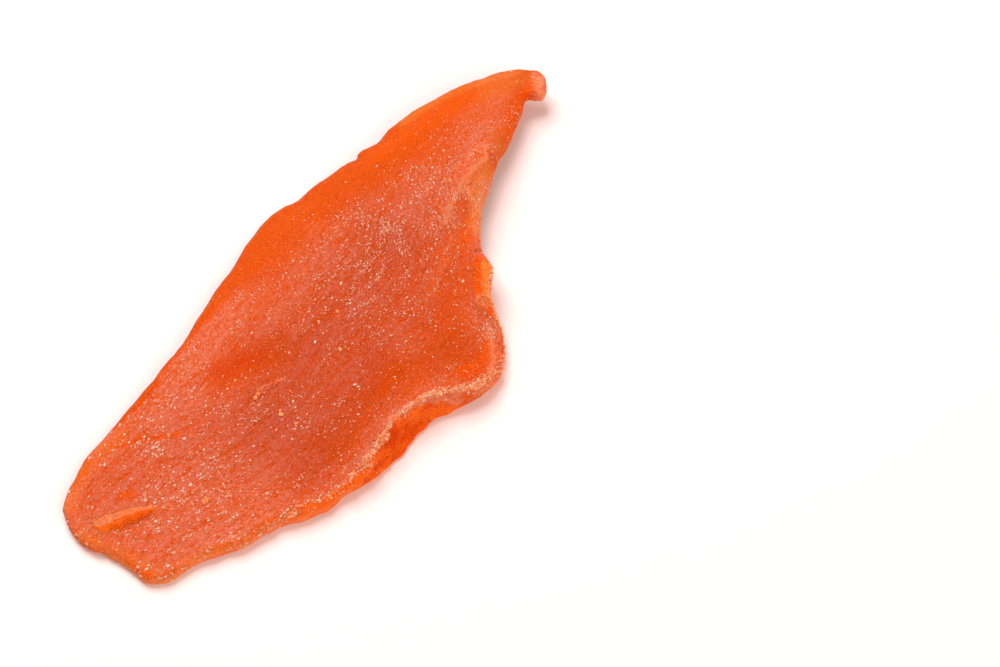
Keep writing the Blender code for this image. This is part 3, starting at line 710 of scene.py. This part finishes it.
class Sheet:
    """The flesh as two grids of points, upper and lower, which meet along the grid's border."""

    def __init__(self, rows, columns):
        self.x, self.y, self.across, self.half, bow = plan(rows, columns)
        self.share = self.x / LENGTH
        self.edge = edge_distance(self.x, self.y)
        self.lip = lip_distance(self.x, self.y)
        self.fibre = self.across * np.sqrt(self.half * WIDTH / 2)
        self.lip_strength = portion(LIP_SPAN, self.share)
        thick = thickness(self.share, self.across)
        z = arch(self.share, bow)
        z -= EDGE_DROP * thick * (1 - np.clip(self.edge / DROP_REACH, 0, 1)) ** 2
        for ridge in FOLDS.values():
            z = z + relief(self.x, self.y, **ridge)
        middle = np.stack([self.x, self.y, z], axis=-1)
        facing = normals(middle)
        left_side = self.across > 0
        rounding = np.where(left_side, LEFT_ROUNDING, through(RIGHT_ROUNDING, self.share))
        full_top = fullness(self.edge, rounding, np.where(left_side, LEFT_SQUARENESS, RIGHT_SQUARENESS))
        full_bottom = fullness(self.edge, UNDER_ROUNDING, LEFT_SQUARENESS)
        self.top = middle + (thick / 2 * full_top)[..., None] * facing
        self.bottom = middle - (thick / 2 * full_bottom)[..., None] * facing
        marks = sum(relief(self.x, self.y, **mark) for mark in MARKS.values())
        self.top[..., 2] += full_top * (marks + knobs(self.x, self.y))
        self.centre()
        self.roughen()
        self.bottom[..., 2] = np.maximum(self.bottom[..., 2], 0.0)
        self.top[..., 2] = np.maximum(self.top[..., 2], 0.0)

    def centre(self):
        """Moves the sheet so that it lies where the solid lies."""
        points = np.concatenate([self.top.reshape(-1, 3), self.bottom.reshape(-1, 3)])
        low, high = (np.array(corner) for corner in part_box(SLICE))
        shift = (low + high) / 2 - (points.min(axis=0) + points.max(axis=0)) / 2
        shift[2] = 0.0
        self.top += shift
        self.bottom += shift

    def roughen(self):
        """Adds the fine relief: fibres, pebbles, a broad swell, and torn flesh on the lip."""
        x, y, fade = self.x, self.y, smooth(self.edge, 0.0, RELIEF_FADE)
        fibres = layered(x / FIBRE_LENGTH * FIBRES[0][0], self.fibre, *FIBRES, seed=41)
        pebbles = layered(x, y, *PEBBLES, seed=51)
        swell = layered(x, y, *SWELL, seed=61)
        torn = layered(x, y + self.top[..., 2], *TORN, seed=71)
        outer = smooth(self.lip, -LIP_BLEND, LIP_BLEND) * self.lip_strength
        self.from_band = self.lip - BAND_MIDDLE + layered(x, y, *WANDER, seed=76)
        reach = np.where(self.from_band > 0, BAND_REACH[1], BAND_REACH[0])
        profile = np.exp(-((self.from_band / reach) ** 2)) * portion(BAND_SPAN, self.share)
        band = (BAND_HEIGHT + layered(x, y, *CRUST, seed=75)) * profile
        raised = (fibres + pebbles) * (1 - outer) + torn * outer + band + swell
        self.top += (raised * fade)[..., None] * normals(self.top)
        # painted light and shade that follow the torn relief: raised lumps light, hollows dark
        self.lumps = np.clip(torn / sum(TORN[1]) * TORN_CONTRAST, -1, 1) / 2 + 0.5
        under = layered(x, y, *PEBBLES, seed=81) + fibres
        self.bottom -= ((under + swell) * fade)[..., None] * normals(self.bottom)


def near(x, y, path, reach):
    """1 on a path of (x, y) millimetres, falling away over the reach, at points in metres."""
    away, _ = from_stroke(x, y, path)
    return np.exp(-((away / reach) ** 2))


def strongest(x, y, strokes):
    """The strongest of these strokes of (reach, strength, path's points) at each point."""
    return np.maximum.reduce([strength * near(x, y, path, reach) for reach, strength, *path in strokes])


def left_over(x, y, strokes):
    """What each of these strokes of (reach, strength, path's points) leaves at each point, multiplied."""
    return np.prod([1 - strength * near(x, y, path, reach) for reach, strength, *path in strokes], axis=0)


def ear_inside(x, y, share):
    """(millimetres out from the ear's base, 1 inside the ear and 0 elsewhere)."""
    away, side = from_stroke(x, y, EAR_BASE)
    outward = -away * side
    within = smooth(share, *EAR_SPAN[0]) * (1 - smooth(share, *EAR_SPAN[1]))
    return outward, within * smooth(outward, *EAR_FOOT)


def regions(sheet):
    """The upper face's colour regions, each from 0 to 1. Glow, thin, pale, light and the cut side's lumps
    carry painted light and shade besides the flesh's own colours.
    """
    x, y, share = sheet.top[..., 0], sheet.top[..., 1], sheet.share
    right_side = sheet.across < 0
    from_left = sheet.half * (1 - sheet.across) + layered(sheet.x, sheet.y, *LEFT_BARE_WANDER, seed=93)
    bare_left = LEFT_BARENESS * (1 - smooth(from_left / (through(LEFT_BARE_WIDTH, share) * MM), *BARE_FADE))
    glow = strongest(x, y, GLOWING)
    wet = strongest(x, y, DEEP_PLACES) * (1 - glow)

    place = sheet.from_band + BAND_MIDDLE + layered(sheet.x, sheet.y, *CREST_WANDER, seed=92)
    past_band = smooth(place - through(LIP_BAND_WIDTH, share) * MM, *CUT_FADE)
    crest = smooth(place, *CREST_FADE) * (1 - past_band) * sheet.lip_strength
    cut = past_band * smooth(sheet.lip_strength, 0.0, CUT_ONSET)
    # painted light and shade of the cut side: lit facets lighter, shaded ones darker, and its torn lumps
    # lighter on top
    painted_facet_light = CUT_SHADE + CUT_BRIGHTER * strongest(x, y, CUT_PAINTED_LIGHT) - CUT_DARKER * strongest(x, y, CUT_PAINTED_SHADE)
    lumps = np.clip(painted_facet_light + CUT_LUMPS * (sheet.lumps - 0.5), 0, 1)

    # the painted highlight along the right outline, with the edge's paler flesh
    line = (1 - smooth(sheet.edge, *PALE_RIM_REACH)) * right_side
    pale_places = strongest(x, y, PALE) * (1 - cut)
    pale_crest = CREST_PALENESS * crest * (1 - glow)
    pale = np.maximum.reduce([pale_places, pale_crest, line * portion(PALE_RIM, share)])

    into_ear, in_ear = ear_inside(x, y, share)
    # the ear's inner face painted glowing, with the painted highlight along the rim over it
    glow = np.maximum(glow, in_ear * (1 - smooth(into_ear, *EAR_GLOW))) * (1 - PALE_RIM_COVERS * line)
    # painted glow of light through the thin right edge
    rim = np.exp(-((sheet.edge / RIM_REACH) ** 2)) * right_side * through(THIN_RIM, share)
    ear_edge = EAR_THINNESS * in_ear * smooth(into_ear, *EAR_THIN)
    thin = np.maximum.reduce([strongest(x, y, THIN), rim, ear_edge]) * (1 - cut)

    bloom = BLOOM_SHARE * (1 - bare_left) * left_over(x, y, BARE) * (1 - wet) * (1 - glow) * (1 - cut)
    # light is the painted light: lower under the painted shade strokes, where the colours take their shaded
    # copies
    return {"bloom": bloom * (1 - THIN_CLEARS * thin), "wet": wet, "glow": glow, "thin": thin, "pale": pale,
            "cut": cut, "light": left_over(x, y, PAINTED_SHADE), "lumps": lumps}


def store(mesh, name, values):
    """Stores one number or one vector for each vertex."""
    kind, field = ("FLOAT_VECTOR", "vector") if values.ndim == 2 else ("FLOAT", "value")
    attribute = mesh.attributes.new(name, kind, "POINT")
    attribute.data.foreach_set(field, np.asarray(values, np.float32).ravel())


def placed(name, data):
    """A new object in the scene."""
    made = bpy.data.objects.new(name, data)
    bpy.context.scene.collection.objects.link(made)
    return made


def piece(name, points, faces, material, smooth_shaded=True):
    """A mesh object that rides on the slice's body."""
    mesh = bpy.data.meshes.new(name)
    mesh.from_pydata(points.tolist(), [], faces)
    mesh.materials.append(material)
    if smooth_shaded:
        mesh.shade_smooth()
    made = placed(name, mesh)
    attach(made, "root")
    return made


def flesh_faces(rows, columns):
    """(faces, inner): triangles and small polygons over both faces, and the grid places of the vertices
    that only the lower face has. The lower face uses every second row and column."""
    index = np.arange((rows + 1) * (columns + 1)).reshape(rows + 1, columns + 1)
    a, b, c, d = cell_corners(index)
    low_row = (np.arange(rows) < rows / 2)[:, None]
    rising = low_row == (np.arange(columns) < columns / 2)[None, :]
    faces = []
    for chosen, corners in ((rising, ((a, b, c), (a, c, d))), (~rising, ((a, b, d), (b, c, d)))):
        for triple in corners:
            faces += np.stack([corner[chosen] for corner in triple], axis=-1).tolist()
    inner = np.meshgrid(np.arange(2, rows, 2), np.arange(2, columns, 2), indexing="ij")
    inner = tuple(places.ravel() for places in inner)
    lower = index.copy()
    lower[inner] = index.size + np.arange(inner[0].size)
    kept = np.zeros(index.shape, bool)
    kept[::2, ::2] = True
    kept[[0, -1]] = True
    kept[:, [0, -1]] = True
    for i in range(0, rows, 2):
        for j in range(0, columns, 2):
            cell = np.s_[i:i + 3, j:j + 3]
            faces.append(border(lower[cell])[border(kept[cell])].tolist())
    return faces, inner


def flesh(sheet, material):
    """The slice itself, one closed mesh, with its colour regions and grain directions stored on it."""
    faces, inner = flesh_faces(ROWS, COLUMNS)
    points = np.concatenate([sheet.top.reshape(-1, 3), sheet.bottom[inner]])
    made = piece("mango_flesh", points, faces, material)
    inward = sheet.edge[inner]
    like_top = 1 - smooth(inward, *BORDER_REACH)
    # the underside is painted half in shade
    plain = {"bloom": UNDER_BLOOM * smooth(inward, 0.0, UNDER_BLOOM_FADE), "light": UNDER_LIGHT}
    for name, region in regions(sheet).items():
        under = like_top * region[inner] + (1 - like_top) * plain.get(name, 0.0)
        store(made.data, name, np.concatenate([region.ravel(), under]))
    along, across = (np.concatenate([grid.ravel(), grid[inner]]) for grid in (sheet.x, sheet.fibre))
    store(made.data, "grain", np.stack([along, across, points[:, 2]], axis=-1))
    return made


def on_face(tree, x, y):
    """(place, normal) of the upper face straight below a place in the frame, in millimetres."""
    place, normal, _, _ = tree.ray_cast((x * MM, y * MM, ABOVE_ALL), (0.0, 0.0, -1.0))
    return np.array(place), np.array(normal)


def flake(tree, material):
    """The lifted flake at the blunt end: a dry, gently sloping top and a torn side with painted light,
    bright though it faces away from the key.
    """
    start, end = np.array(FLAKE_START) * MM, np.array(FLAKE_END) * MM
    s, f = np.meshgrid(*(np.linspace(0, 1, cells + 1) for cells in FLAKE_GRID), indexing="ij")
    direction = (end - start) / np.linalg.norm(end - start)
    inward = np.array([direction[1], -direction[0]])
    uneven = 1 + layered(s, 0 * s, *FLAKE_UNEVEN, seed=401)
    across = (f * through(FLAKE_WIDTH, s) * uneven - FLAKE_BOW * 4 * s * (1 - s)) * MM
    x, y = (start[k] + s * (end[k] - start[k]) + across * inward[k] for k in (0, 1))
    ground = np.array([[on_face(tree, px / MM, py / MM)[0][2] for px, py in zip(*row)] for row in zip(x, y)])
    height = through(FLAKE_SECTION, f) * through(FLAKE_HEIGHT, s) * MM
    rough = layered(x, y + height, *FLAKE_ROUGH, seed=411)
    rough *= smooth(np.minimum(f, 1 - f), 0.0, FLAKE_ROUGH_FADE)
    top = np.stack([x, y, ground + height + rough], axis=-1).reshape(-1, 3)
    bottom = np.stack([x, y, ground - FLAKE_ROOT], axis=-1).reshape(-1, 3)
    index = np.arange(x.size).reshape(x.shape)
    quads = np.stack(cell_corners(index), axis=-1).reshape(-1, 4)
    faces = quads[:, ::-1].tolist() + (quads + x.size).tolist()
    ring = border(index)
    faces += [[a, b, b + x.size, a + x.size] for a, b in zip(ring.tolist(), np.roll(ring, -1).tolist())]
    made = piece("flake", np.concatenate([top, bottom]), faces, material)
    edge = f + layered(x, y, *FLAKE_SIDE_WANDER, seed=421)
    side = smooth(edge, FLAKE_SIDE - FLAKE_SIDE_BLEND, FLAKE_SIDE + FLAKE_SIDE_BLEND)
    values = {name: strength * (1 - side) for name, strength in FLAKE_TOP.items()}
    # its top takes the full painted light; its torn side is painted light, near the cut side's lit colour
    values |= {"cut": side, "light": np.ones(side.shape)}
    values["lumps"] = FLAKE_SHADE + layered(x, y, *FLAKE_LUMPS, seed=431)
    for name, value in values.items():
        store(made.data, name, np.tile(value.ravel(), 2))
    store(made.data, "grain", np.tile(np.stack([x, y, height], axis=-1).reshape(-1, 3), (2, 1)))


class Nodes:
    """Adds nodes to one material and links them."""

    def __init__(self, name):
        self.material = bpy.data.materials.new(name)
        self.material.use_nodes = True
        self.tree = self.material.node_tree
        self.surface = self.tree.nodes["Principled BSDF"]

    def add(self, kind, inputs=(), **settings):
        """A new node. Its inputs are (name or number, value or another node's output)."""
        made = self.tree.nodes.new("ShaderNode" + kind)
        for name, value in settings.items():
            setattr(made, name, value)
        for name, value in inputs:
            self.feed(made.inputs[name], value)
        return made

    def feed(self, socket, value):
        """Links another node's output to a socket, or sets the value of the socket itself."""
        if isinstance(value, bpy.types.NodeSocket):
            self.tree.links.new(value, socket)
        else:
            socket.default_value = value

    def shade(self, **inputs):
        """Feeds sockets of the surface's shader, with _ for the spaces in their names."""
        for name, value in inputs.items():
            self.feed(self.surface.inputs[name.replace("_", " ")], value)

    def translucent(self, weight, scale, radius):
        """Lets light wander inside the surface."""
        self.shade(Subsurface_Weight=weight, Subsurface_Scale=scale, Subsurface_Radius=radius)

    def stored(self, name, output="Fac"):
        """What the mesh stores under this name."""
        return self.add("Attribute", attribute_name=name).outputs[output]

    def grain(self, place, sizes, detail, seed):
        """Noise from 0 to 1 with lumps of these sizes in metres."""
        scaled = self.add("VectorMath", [(0, place), (1, tuple(1 / s for s in sizes))], operation="MULTIPLY")
        inputs = [("Vector", scaled.outputs[0]), ("W", seed), ("Scale", 1.0), ("Detail", detail),
                  ("Roughness", PATTERN_ROUGHNESS)]
        return self.add("TexNoise", inputs, noise_dimensions="4D").outputs["Fac"]

    def spread(self, value, low, high, out_low=0.0, out_high=1.0):
        """The value's range from low to high, stretched to another range and cut off there."""
        inputs = [("Value", value), ("From Min", low), ("From Max", high), ("To Min", out_low),
                  ("To Max", out_high)]
        return self.add("MapRange", inputs).outputs["Result"]

    def mix(self, factor, a, b, blend="MIX"):
        """The colour between a and b. Their sockets go by number, because other kinds share their names."""
        return self.add("Mix", [(0, factor), (6, a), (7, b)], data_type="RGBA", blend_type=blend).outputs[2]

    def maths(self, operation, a, b):
        """The result of one operation on two values."""
        return self.add("Math", [(0, a), (1, b)], operation=operation).outputs[0]

    def bump(self, height, distance, over=None):
        """Bumps of this height, on top of other ones where they are given."""
        made = self.add("Bump", [("Height", height), ("Distance", distance)])
        if over is not None:
            self.feed(made.inputs["Normal"], over)
        return made.outputs["Normal"]


def flesh_material():
    """Waxy, translucent orange flesh, with a pinkish bloom of fine sugar in a grainy mosaic. Each colour is
    mixed between its shaded and lit copy by the painted light, and glow is painted on thin and torn places.
    """
    nodes = Nodes("mango_flesh")
    bloom, wet, glow, thin, pale, cut, light, cut_painted_light = (
        nodes.stored(name) for name in ("bloom", "wet", "glow", "thin", "pale", "cut", "light", "lumps"))
    place = nodes.stored("grain", "Vector")
    broad, patches, mosaic, fibres, fine, streaks = (
        nodes.grain(place, sizes, detail, seed) for seed, (sizes, detail) in enumerate(PATTERNS, 1))

    unevenness = 1.0
    for pattern, (low, high, push) in zip((mosaic, patches, broad, streaks), BLOOM_PATTERNS):
        unevenness = nodes.maths("ADD", unevenness, nodes.spread(pattern, low, high, -push, push))
    dusted = nodes.spread(nodes.maths("MULTIPLY", bloom, unevenness), 0.0, 1.0)
    streaked = nodes.maths("MULTIPLY", wet, nodes.spread(fibres, *DEEP_STREAKS))
    dry = nodes.maths("MULTIPLY", pale, nodes.spread(nodes.maths("ADD", mosaic, patches), *DRY_RANGE))
    layers = (
        (nodes.spread(fibres, *FIBRE_SHADE), DEEP),
        # the bloom's shaded copy where the painted light is low
        (dusted, nodes.mix(light, BLOOM_SHADED, BLOOM_LIGHT)),
        (streaked, DEEP),
        (thin, THIN_ORANGE),
        (glow, GLOW),
        # the cut side between its painted shade and its painted light
        (cut, nodes.mix(nodes.spread(cut_painted_light, *CUT_RANGE), CUT_SHADED, CUT_LIGHT)),
        (dry, PALE_ORANGE),
    )
    # painted shade: the orange's shaded copy where the painted light is low, its lit copy elsewhere
    colour = nodes.mix(light, ORANGE_SHADED, ORANGE_LIGHT)
    for factor, tint in layers:
        colour = nodes.mix(factor, colour, tint)
    speckle = nodes.mix(nodes.spread(fine, *SPECKLE_RANGE), SPECKLE_DARK, SPECKLE_LIGHT)

    torn = nodes.maths("MULTIPLY", nodes.maths("MAXIMUM", cut, glow), CUT_GLOSS)
    roughness = nodes.spread(nodes.maths("MAXIMUM", wet, torn), 0.0, 1.0, *FLESH_ROUGHNESS)
    bumps = nodes.bump(mosaic, MOSAIC_BUMP, over=nodes.bump(fine, FINE_BUMP))
    nodes.shade(Base_Color=nodes.mix(1.0, colour, speckle, "MULTIPLY"), Roughness=roughness, Normal=bumps,
                Specular_IOR_Level=FLESH_SPECULAR)
    nodes.translucent(**FLESH_DEPTH)
    return nodes.material


def grain_material(name, clean, stained, roughness):
    """Small pieces between two colours: the tint that each vertex stores chooses the place between."""
    nodes = Nodes(name)
    nodes.shade(Base_Color=nodes.mix(nodes.stored("tint"), stained, clean), Roughness=roughness,
                Specular_IOR_Level=SUGAR_SPECULAR)
    nodes.translucent(**SUGAR_DEPTH)
    return nodes.material


def scatter(points, weight, count, seed):
    """(places, along, facing): random places on a grid of points, more of them where the weight is high."""
    draws = np.random.default_rng(seed)
    corners = cell_corners(points)
    a, b, c, d = corners
    area = np.linalg.norm(np.cross(c - a, d - b), axis=-1) / 2
    chance = np.cumsum((area * weight[:-1, :-1]).ravel())
    cell = np.searchsorted(chance, draws.uniform(0, chance[-1], count))
    a, b, c, d = (corner.reshape(-1, 3)[cell] for corner in corners)
    s, t = draws.uniform(0, 1, (2, count, 1))
    places = a * (1 - s) * (1 - t) + b * s * (1 - t) + c * s * t + d * (1 - s) * t
    return places, unit(b - a), unit(np.cross(c - a, d - b))


def with_named(tree, named, spots, sizes):
    """(spots, sizes): scattered ones, and after them the named ones of (x, y, size) in millimetres."""
    places, facing = zip(*(on_face(tree, x, y) for x, y, _ in named))
    along = np.tile((1.0, 0.0, 0.0), (len(named), 1))
    spots = [np.concatenate(pair) for pair in zip(spots, (places, along, facing))]
    return spots, np.concatenate([sizes, [size * MM for _, _, size in named]])


def axes_of(along, facing, draws, turn, tilt):
    """Three axes for each small body: the first near the grain's direction, the last near the normal."""
    count = len(along)
    side = np.cross(facing, along)
    angle = draws.normal(0, turn, (count, 1))
    lean = draws.normal(0, tilt, (count, 1))
    first = unit(along * np.cos(angle) + side * np.sin(angle) + facing * lean)
    second = unit(np.cross(facing + draws.normal(0, tilt, (count, 3)), first))
    return np.stack([first, second, np.cross(first, second)], axis=1)


def bodies(name, centres, axes, corners, sides, material, tints, smooth_shaded=False):
    """Many small bodies in one mesh, each with its own corners along its own axes."""
    count, size = corners.shape[:2]
    points = centres[:, None, :] + np.einsum("nck,nkd->ncd", corners, axes)
    faces = (np.array(sides)[None] + size * np.arange(count)[:, None, None]).reshape(-1, len(sides[0]))
    made = piece(name, points.reshape(-1, 3), faces.tolist(), material, smooth_shaded)
    store(made.data, "tint", np.repeat(tints, size))


def blocks(name, places, along, facing, lengths, material, seed, tints):
    """Many jittered little blocks, such as sugar crystals."""
    draws = np.random.default_rng(seed)
    axes = axes_of(along, facing, draws, *GRAIN_TURN)
    widths, heights = (lengths * draws.uniform(*span, len(places)) for span in (GRAIN_WIDTHS, GRAIN_HEIGHTS))
    size = np.stack([lengths, widths, heights], axis=-1) / 2
    corners = np.array(BLOCK_CORNERS, float)[None] * size[:, None, :]
    corners = corners * draws.uniform(*GRAIN_JITTER, corners.shape)
    lift = (size[:, 2] * draws.uniform(*GRAIN_LIFT, len(places)))[:, None]
    bodies(name, places + unit(facing) * lift, axes, corners, BLOCK_SIDES, material, tints)


def specks(name, places, along, facing, lengths, material, seed, tints):
    """Many tiny four-sided specks."""
    draws = np.random.default_rng(seed)
    axes = axes_of(along, facing, draws, *SPECK_TURN)
    corners = np.array(SPECK_CORNERS)[None] * (lengths / 2)[:, None, None]
    corners = corners * draws.uniform(*SPECK_JITTER, corners.shape)
    bodies(name, places, axes, corners, SPECK_SIDES, material, tints)


def ball():
    """(points, faces) of a small round body with 42 points, made from an icosahedron."""
    body = bmesh.new()
    bmesh.ops.create_icosphere(body, subdivisions=2, radius=1.0)
    points = np.array([v.co[:] for v in body.verts])
    faces = [[v.index for v in f.verts] for f in body.faces]
    body.free()
    return points, faces


def lumps(name, places, along, facing, sizes, material, seed, tints):
    """Many uneven crumbs."""
    draws = np.random.default_rng(seed)
    base, sides = ball()
    count, radii = len(places), sizes / 2
    axes = axes_of(along, facing, draws, *LUMP_TURN)
    size = radii[:, None] * np.stack([draws.uniform(*span, count) for span in LUMP_SIZES], axis=-1)
    phase = draws.uniform(0, math.tau, (count, 1, 3))
    bumps = 1 + LUMP_WAVE * np.sin(base[None] * LUMP_WAVES + phase).sum(axis=-1)
    bumps += draws.uniform(-LUMP_JITTER, LUMP_JITTER, bumps.shape)
    corners = base[None] * size[:, None, :] * bumps[..., None]
    centres = places + facing * (LUMP_LIFT * radii)[:, None]
    bodies(name, centres, axes, corners, sides, material, tints, smooth_shaded=True)


def grain_density(sheet):
    """How densely sugar lies over the upper face."""
    x, y = sheet.top[..., 0] / MM, sheet.top[..., 1] / MM
    density = np.ones(x.shape)
    for *spot, gain in DENSE:
        density += gain * bell(x, y, *spot)
    for spot in SPARSE:
        density *= 1 - SPARSENESS * bell(x, y, *spot)
    from_left = sheet.half * (1 - sheet.across) / (through(LEFT_BARE_WIDTH, sheet.share) * MM)
    density *= LEFT_SUGAR + (1 - LEFT_SUGAR) * smooth(from_left, *LEFT_SUGAR_FADE)
    on_cut = smooth(sheet.lip, *CUT_CLEAR_FADE) * smooth(sheet.lip_strength, 0.0, CUT_CLEAR_ONSET)
    density *= 1 - CUT_CLEAR * on_cut
    clumps = layered(sheet.x, sheet.y, *CLUMPS, seed=101)
    clumps += layered(sheet.x / STREAK_STRETCH, sheet.fibre, *CLUMP_STREAKS, seed=102)
    return density * np.exp(CLUMPING * clumps)


def sugar(sheet, tree):
    """The grains and the finer dust that stick to both faces."""
    clean = grain_material("sugar", SUGAR, SUGAR_STAINED, SUGAR_ROUGHNESS)
    density = grain_density(sheet)
    draws = np.random.default_rng(201)
    spots = scatter(sheet.top, density, GRAIN_COUNT, 202)
    lengths = between(GRAIN_LENGTH, draws.beta(*GRAIN_SPREAD, GRAIN_COUNT))
    lengths *= COARSER - (COARSER - 1) * smooth(spots[0][:, 0], *COARSE_END)
    spots, lengths = with_named(tree, NAMED_GRAINS, spots, lengths)
    tints = np.concatenate([draws.beta(*GRAIN_TINTS, GRAIN_COUNT), np.ones(len(NAMED_GRAINS))])
    blocks("sugar_grains", *spots, lengths, clean, 203, tints)

    even = smooth(sheet.edge, 0.0, UNDER_GRAIN_EDGE)
    places, along, facing = scatter(sheet.bottom, even, UNDER_GRAIN_COUNT, 204)
    lengths = draws.uniform(*UNDER_GRAIN_LENGTH, UNDER_GRAIN_COUNT)
    free = places[:, 2] > LOWEST_UNDER_GRAIN
    tints = draws.beta(*UNDER_GRAIN_TINTS, free.sum())
    blocks("sugar_grains_under", places[free], along[free], -facing[free], lengths[free], clean, 205, tints)

    spots = scatter(sheet.top, density**DUST_EVENNESS, DUST_COUNT, 206)
    lengths = draws.uniform(*DUST_LENGTH, DUST_COUNT)
    specks("sugar_dust", *spots, lengths, clean, 207, draws.beta(*DUST_TINTS, DUST_COUNT))


def crumbs(sheet, tree):
    """Crumbs of fruit on the face, and the granular crust of the lip's crest."""
    draws = np.random.default_rng(301)
    fruit = grain_material("fruit_crumbs", CRUMB, CRUMB_DEEP, CRUMB_ROUGHNESS)
    spots = scatter(sheet.top, grain_density(sheet), CRUMB_COUNT, 302)
    spots, sizes = with_named(tree, NAMED_CRUMBS, spots, draws.uniform(*CRUMB_SIZE, CRUMB_COUNT))
    lumps("fruit_crumbs", *spots, sizes, fruit, 303, draws.uniform(*CRUMB_TINTS, len(sizes)))

    crust = grain_material("lip_crumbs", LIP_CRUMB, LIP_CRUMB_DEEP, LIP_CRUMB_ROUGHNESS)
    crest = np.exp(-(((sheet.from_band + CRUMB_OFFSET) / CRUMB_REACH) ** 2)) * sheet.lip_strength**2
    clumps = layered(sheet.x, sheet.y, *LIP_CRUMB_CLUMPS, seed=306)
    crest *= np.exp(clumps) * through(CRUMB_SHARE, sheet.share)
    _, in_ear = ear_inside(sheet.x, sheet.y, sheet.share)
    crest += EAR_CRUMBS * in_ear * np.exp(-(((sheet.edge - EAR_CRUMB_PLACE) / EAR_CRUMB_REACH) ** 2))
    spots = scatter(sheet.top, crest, LIP_CRUMB_COUNT, 304)
    sizes = between(LIP_CRUMB_SIZE, draws.beta(*LIP_CRUMB_SPREAD, LIP_CRUMB_COUNT))
    lumps("lip_crumbs", *spots, sizes, crust, 305, draws.beta(*LIP_CRUMB_TINTS, LIP_CRUMB_COUNT))


def softbox(name, place, size, power, colour):
    """A square light that faces the middle of the slice."""
    light = bpy.data.lights.new(name, "AREA")
    light.size = size
    light.energy = power
    light.color = colour
    made = placed(name, light)
    made.location = place
    x, y, z = place
    made.rotation_euler = (math.atan2(math.hypot(x, y), z), 0.0, math.atan2(x, -y))


def studio():
    """A pale floor, a soft key light and a softer fill, an even pale world, and the camera."""
    mesh = bpy.data.meshes.new("floor")
    corners = [(FLOOR_REACH * x, FLOOR_REACH * y, 0.0) for x, y in ((-1, -1), (1, -1), (1, 1), (-1, 1))]
    mesh.from_pydata(corners, [], [(0, 1, 2, 3)])
    nodes = Nodes("floor")
    nodes.shade(Base_Color=FLOOR, Roughness=FLOOR_ROUGHNESS)
    mesh.materials.append(nodes.material)
    floor = placed("floor", mesh)

    world = bpy.data.worlds.new("studio")
    world.use_nodes = True
    background = world.node_tree.nodes["Background"]
    background.inputs["Color"].default_value = WORLD_COLOUR
    background.inputs["Strength"].default_value = WORLD_STRENGTH
    bpy.context.scene.world = world

    softbox("key", **KEY_LIGHT)
    softbox("fill", **FILL_LIGHT)

    lens = bpy.data.cameras.new("camera")
    lens.lens = CAMERA_LENS
    lens.sensor_width = SENSOR
    lens.clip_start = CAMERA_CLIP
    camera = placed("camera", lens)
    turn, rise = math.radians(CAMERA_TURN), math.radians(CAMERA_ELEVATION)
    back = (math.sin(turn) * math.cos(rise), -math.cos(turn) * math.cos(rise), math.sin(rise))
    camera.location = [aim + CAMERA_DISTANCE * b for aim, b in zip(CAMERA_AIM, back)]
    camera.rotation_euler = (math.pi / 2 - rise, 0.0, turn)
    bpy.context.scene.camera = camera
    bpy.context.scene.view_settings.view_transform = "Standard"


def main():
    """Makes the slice with its sugar and crumbs, and the studio round it."""
    sheet = Sheet(ROWS, COLUMNS)
    fruit = flesh_material()
    body = flesh(sheet, fruit)
    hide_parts(SLICE)
    bpy.context.view_layer.update()
    tree = BVHTree.FromObject(body, bpy.context.evaluated_depsgraph_get())
    flake(tree, fruit)
    sugar(sheet, tree)
    crumbs(sheet, tree)
    studio()


main()
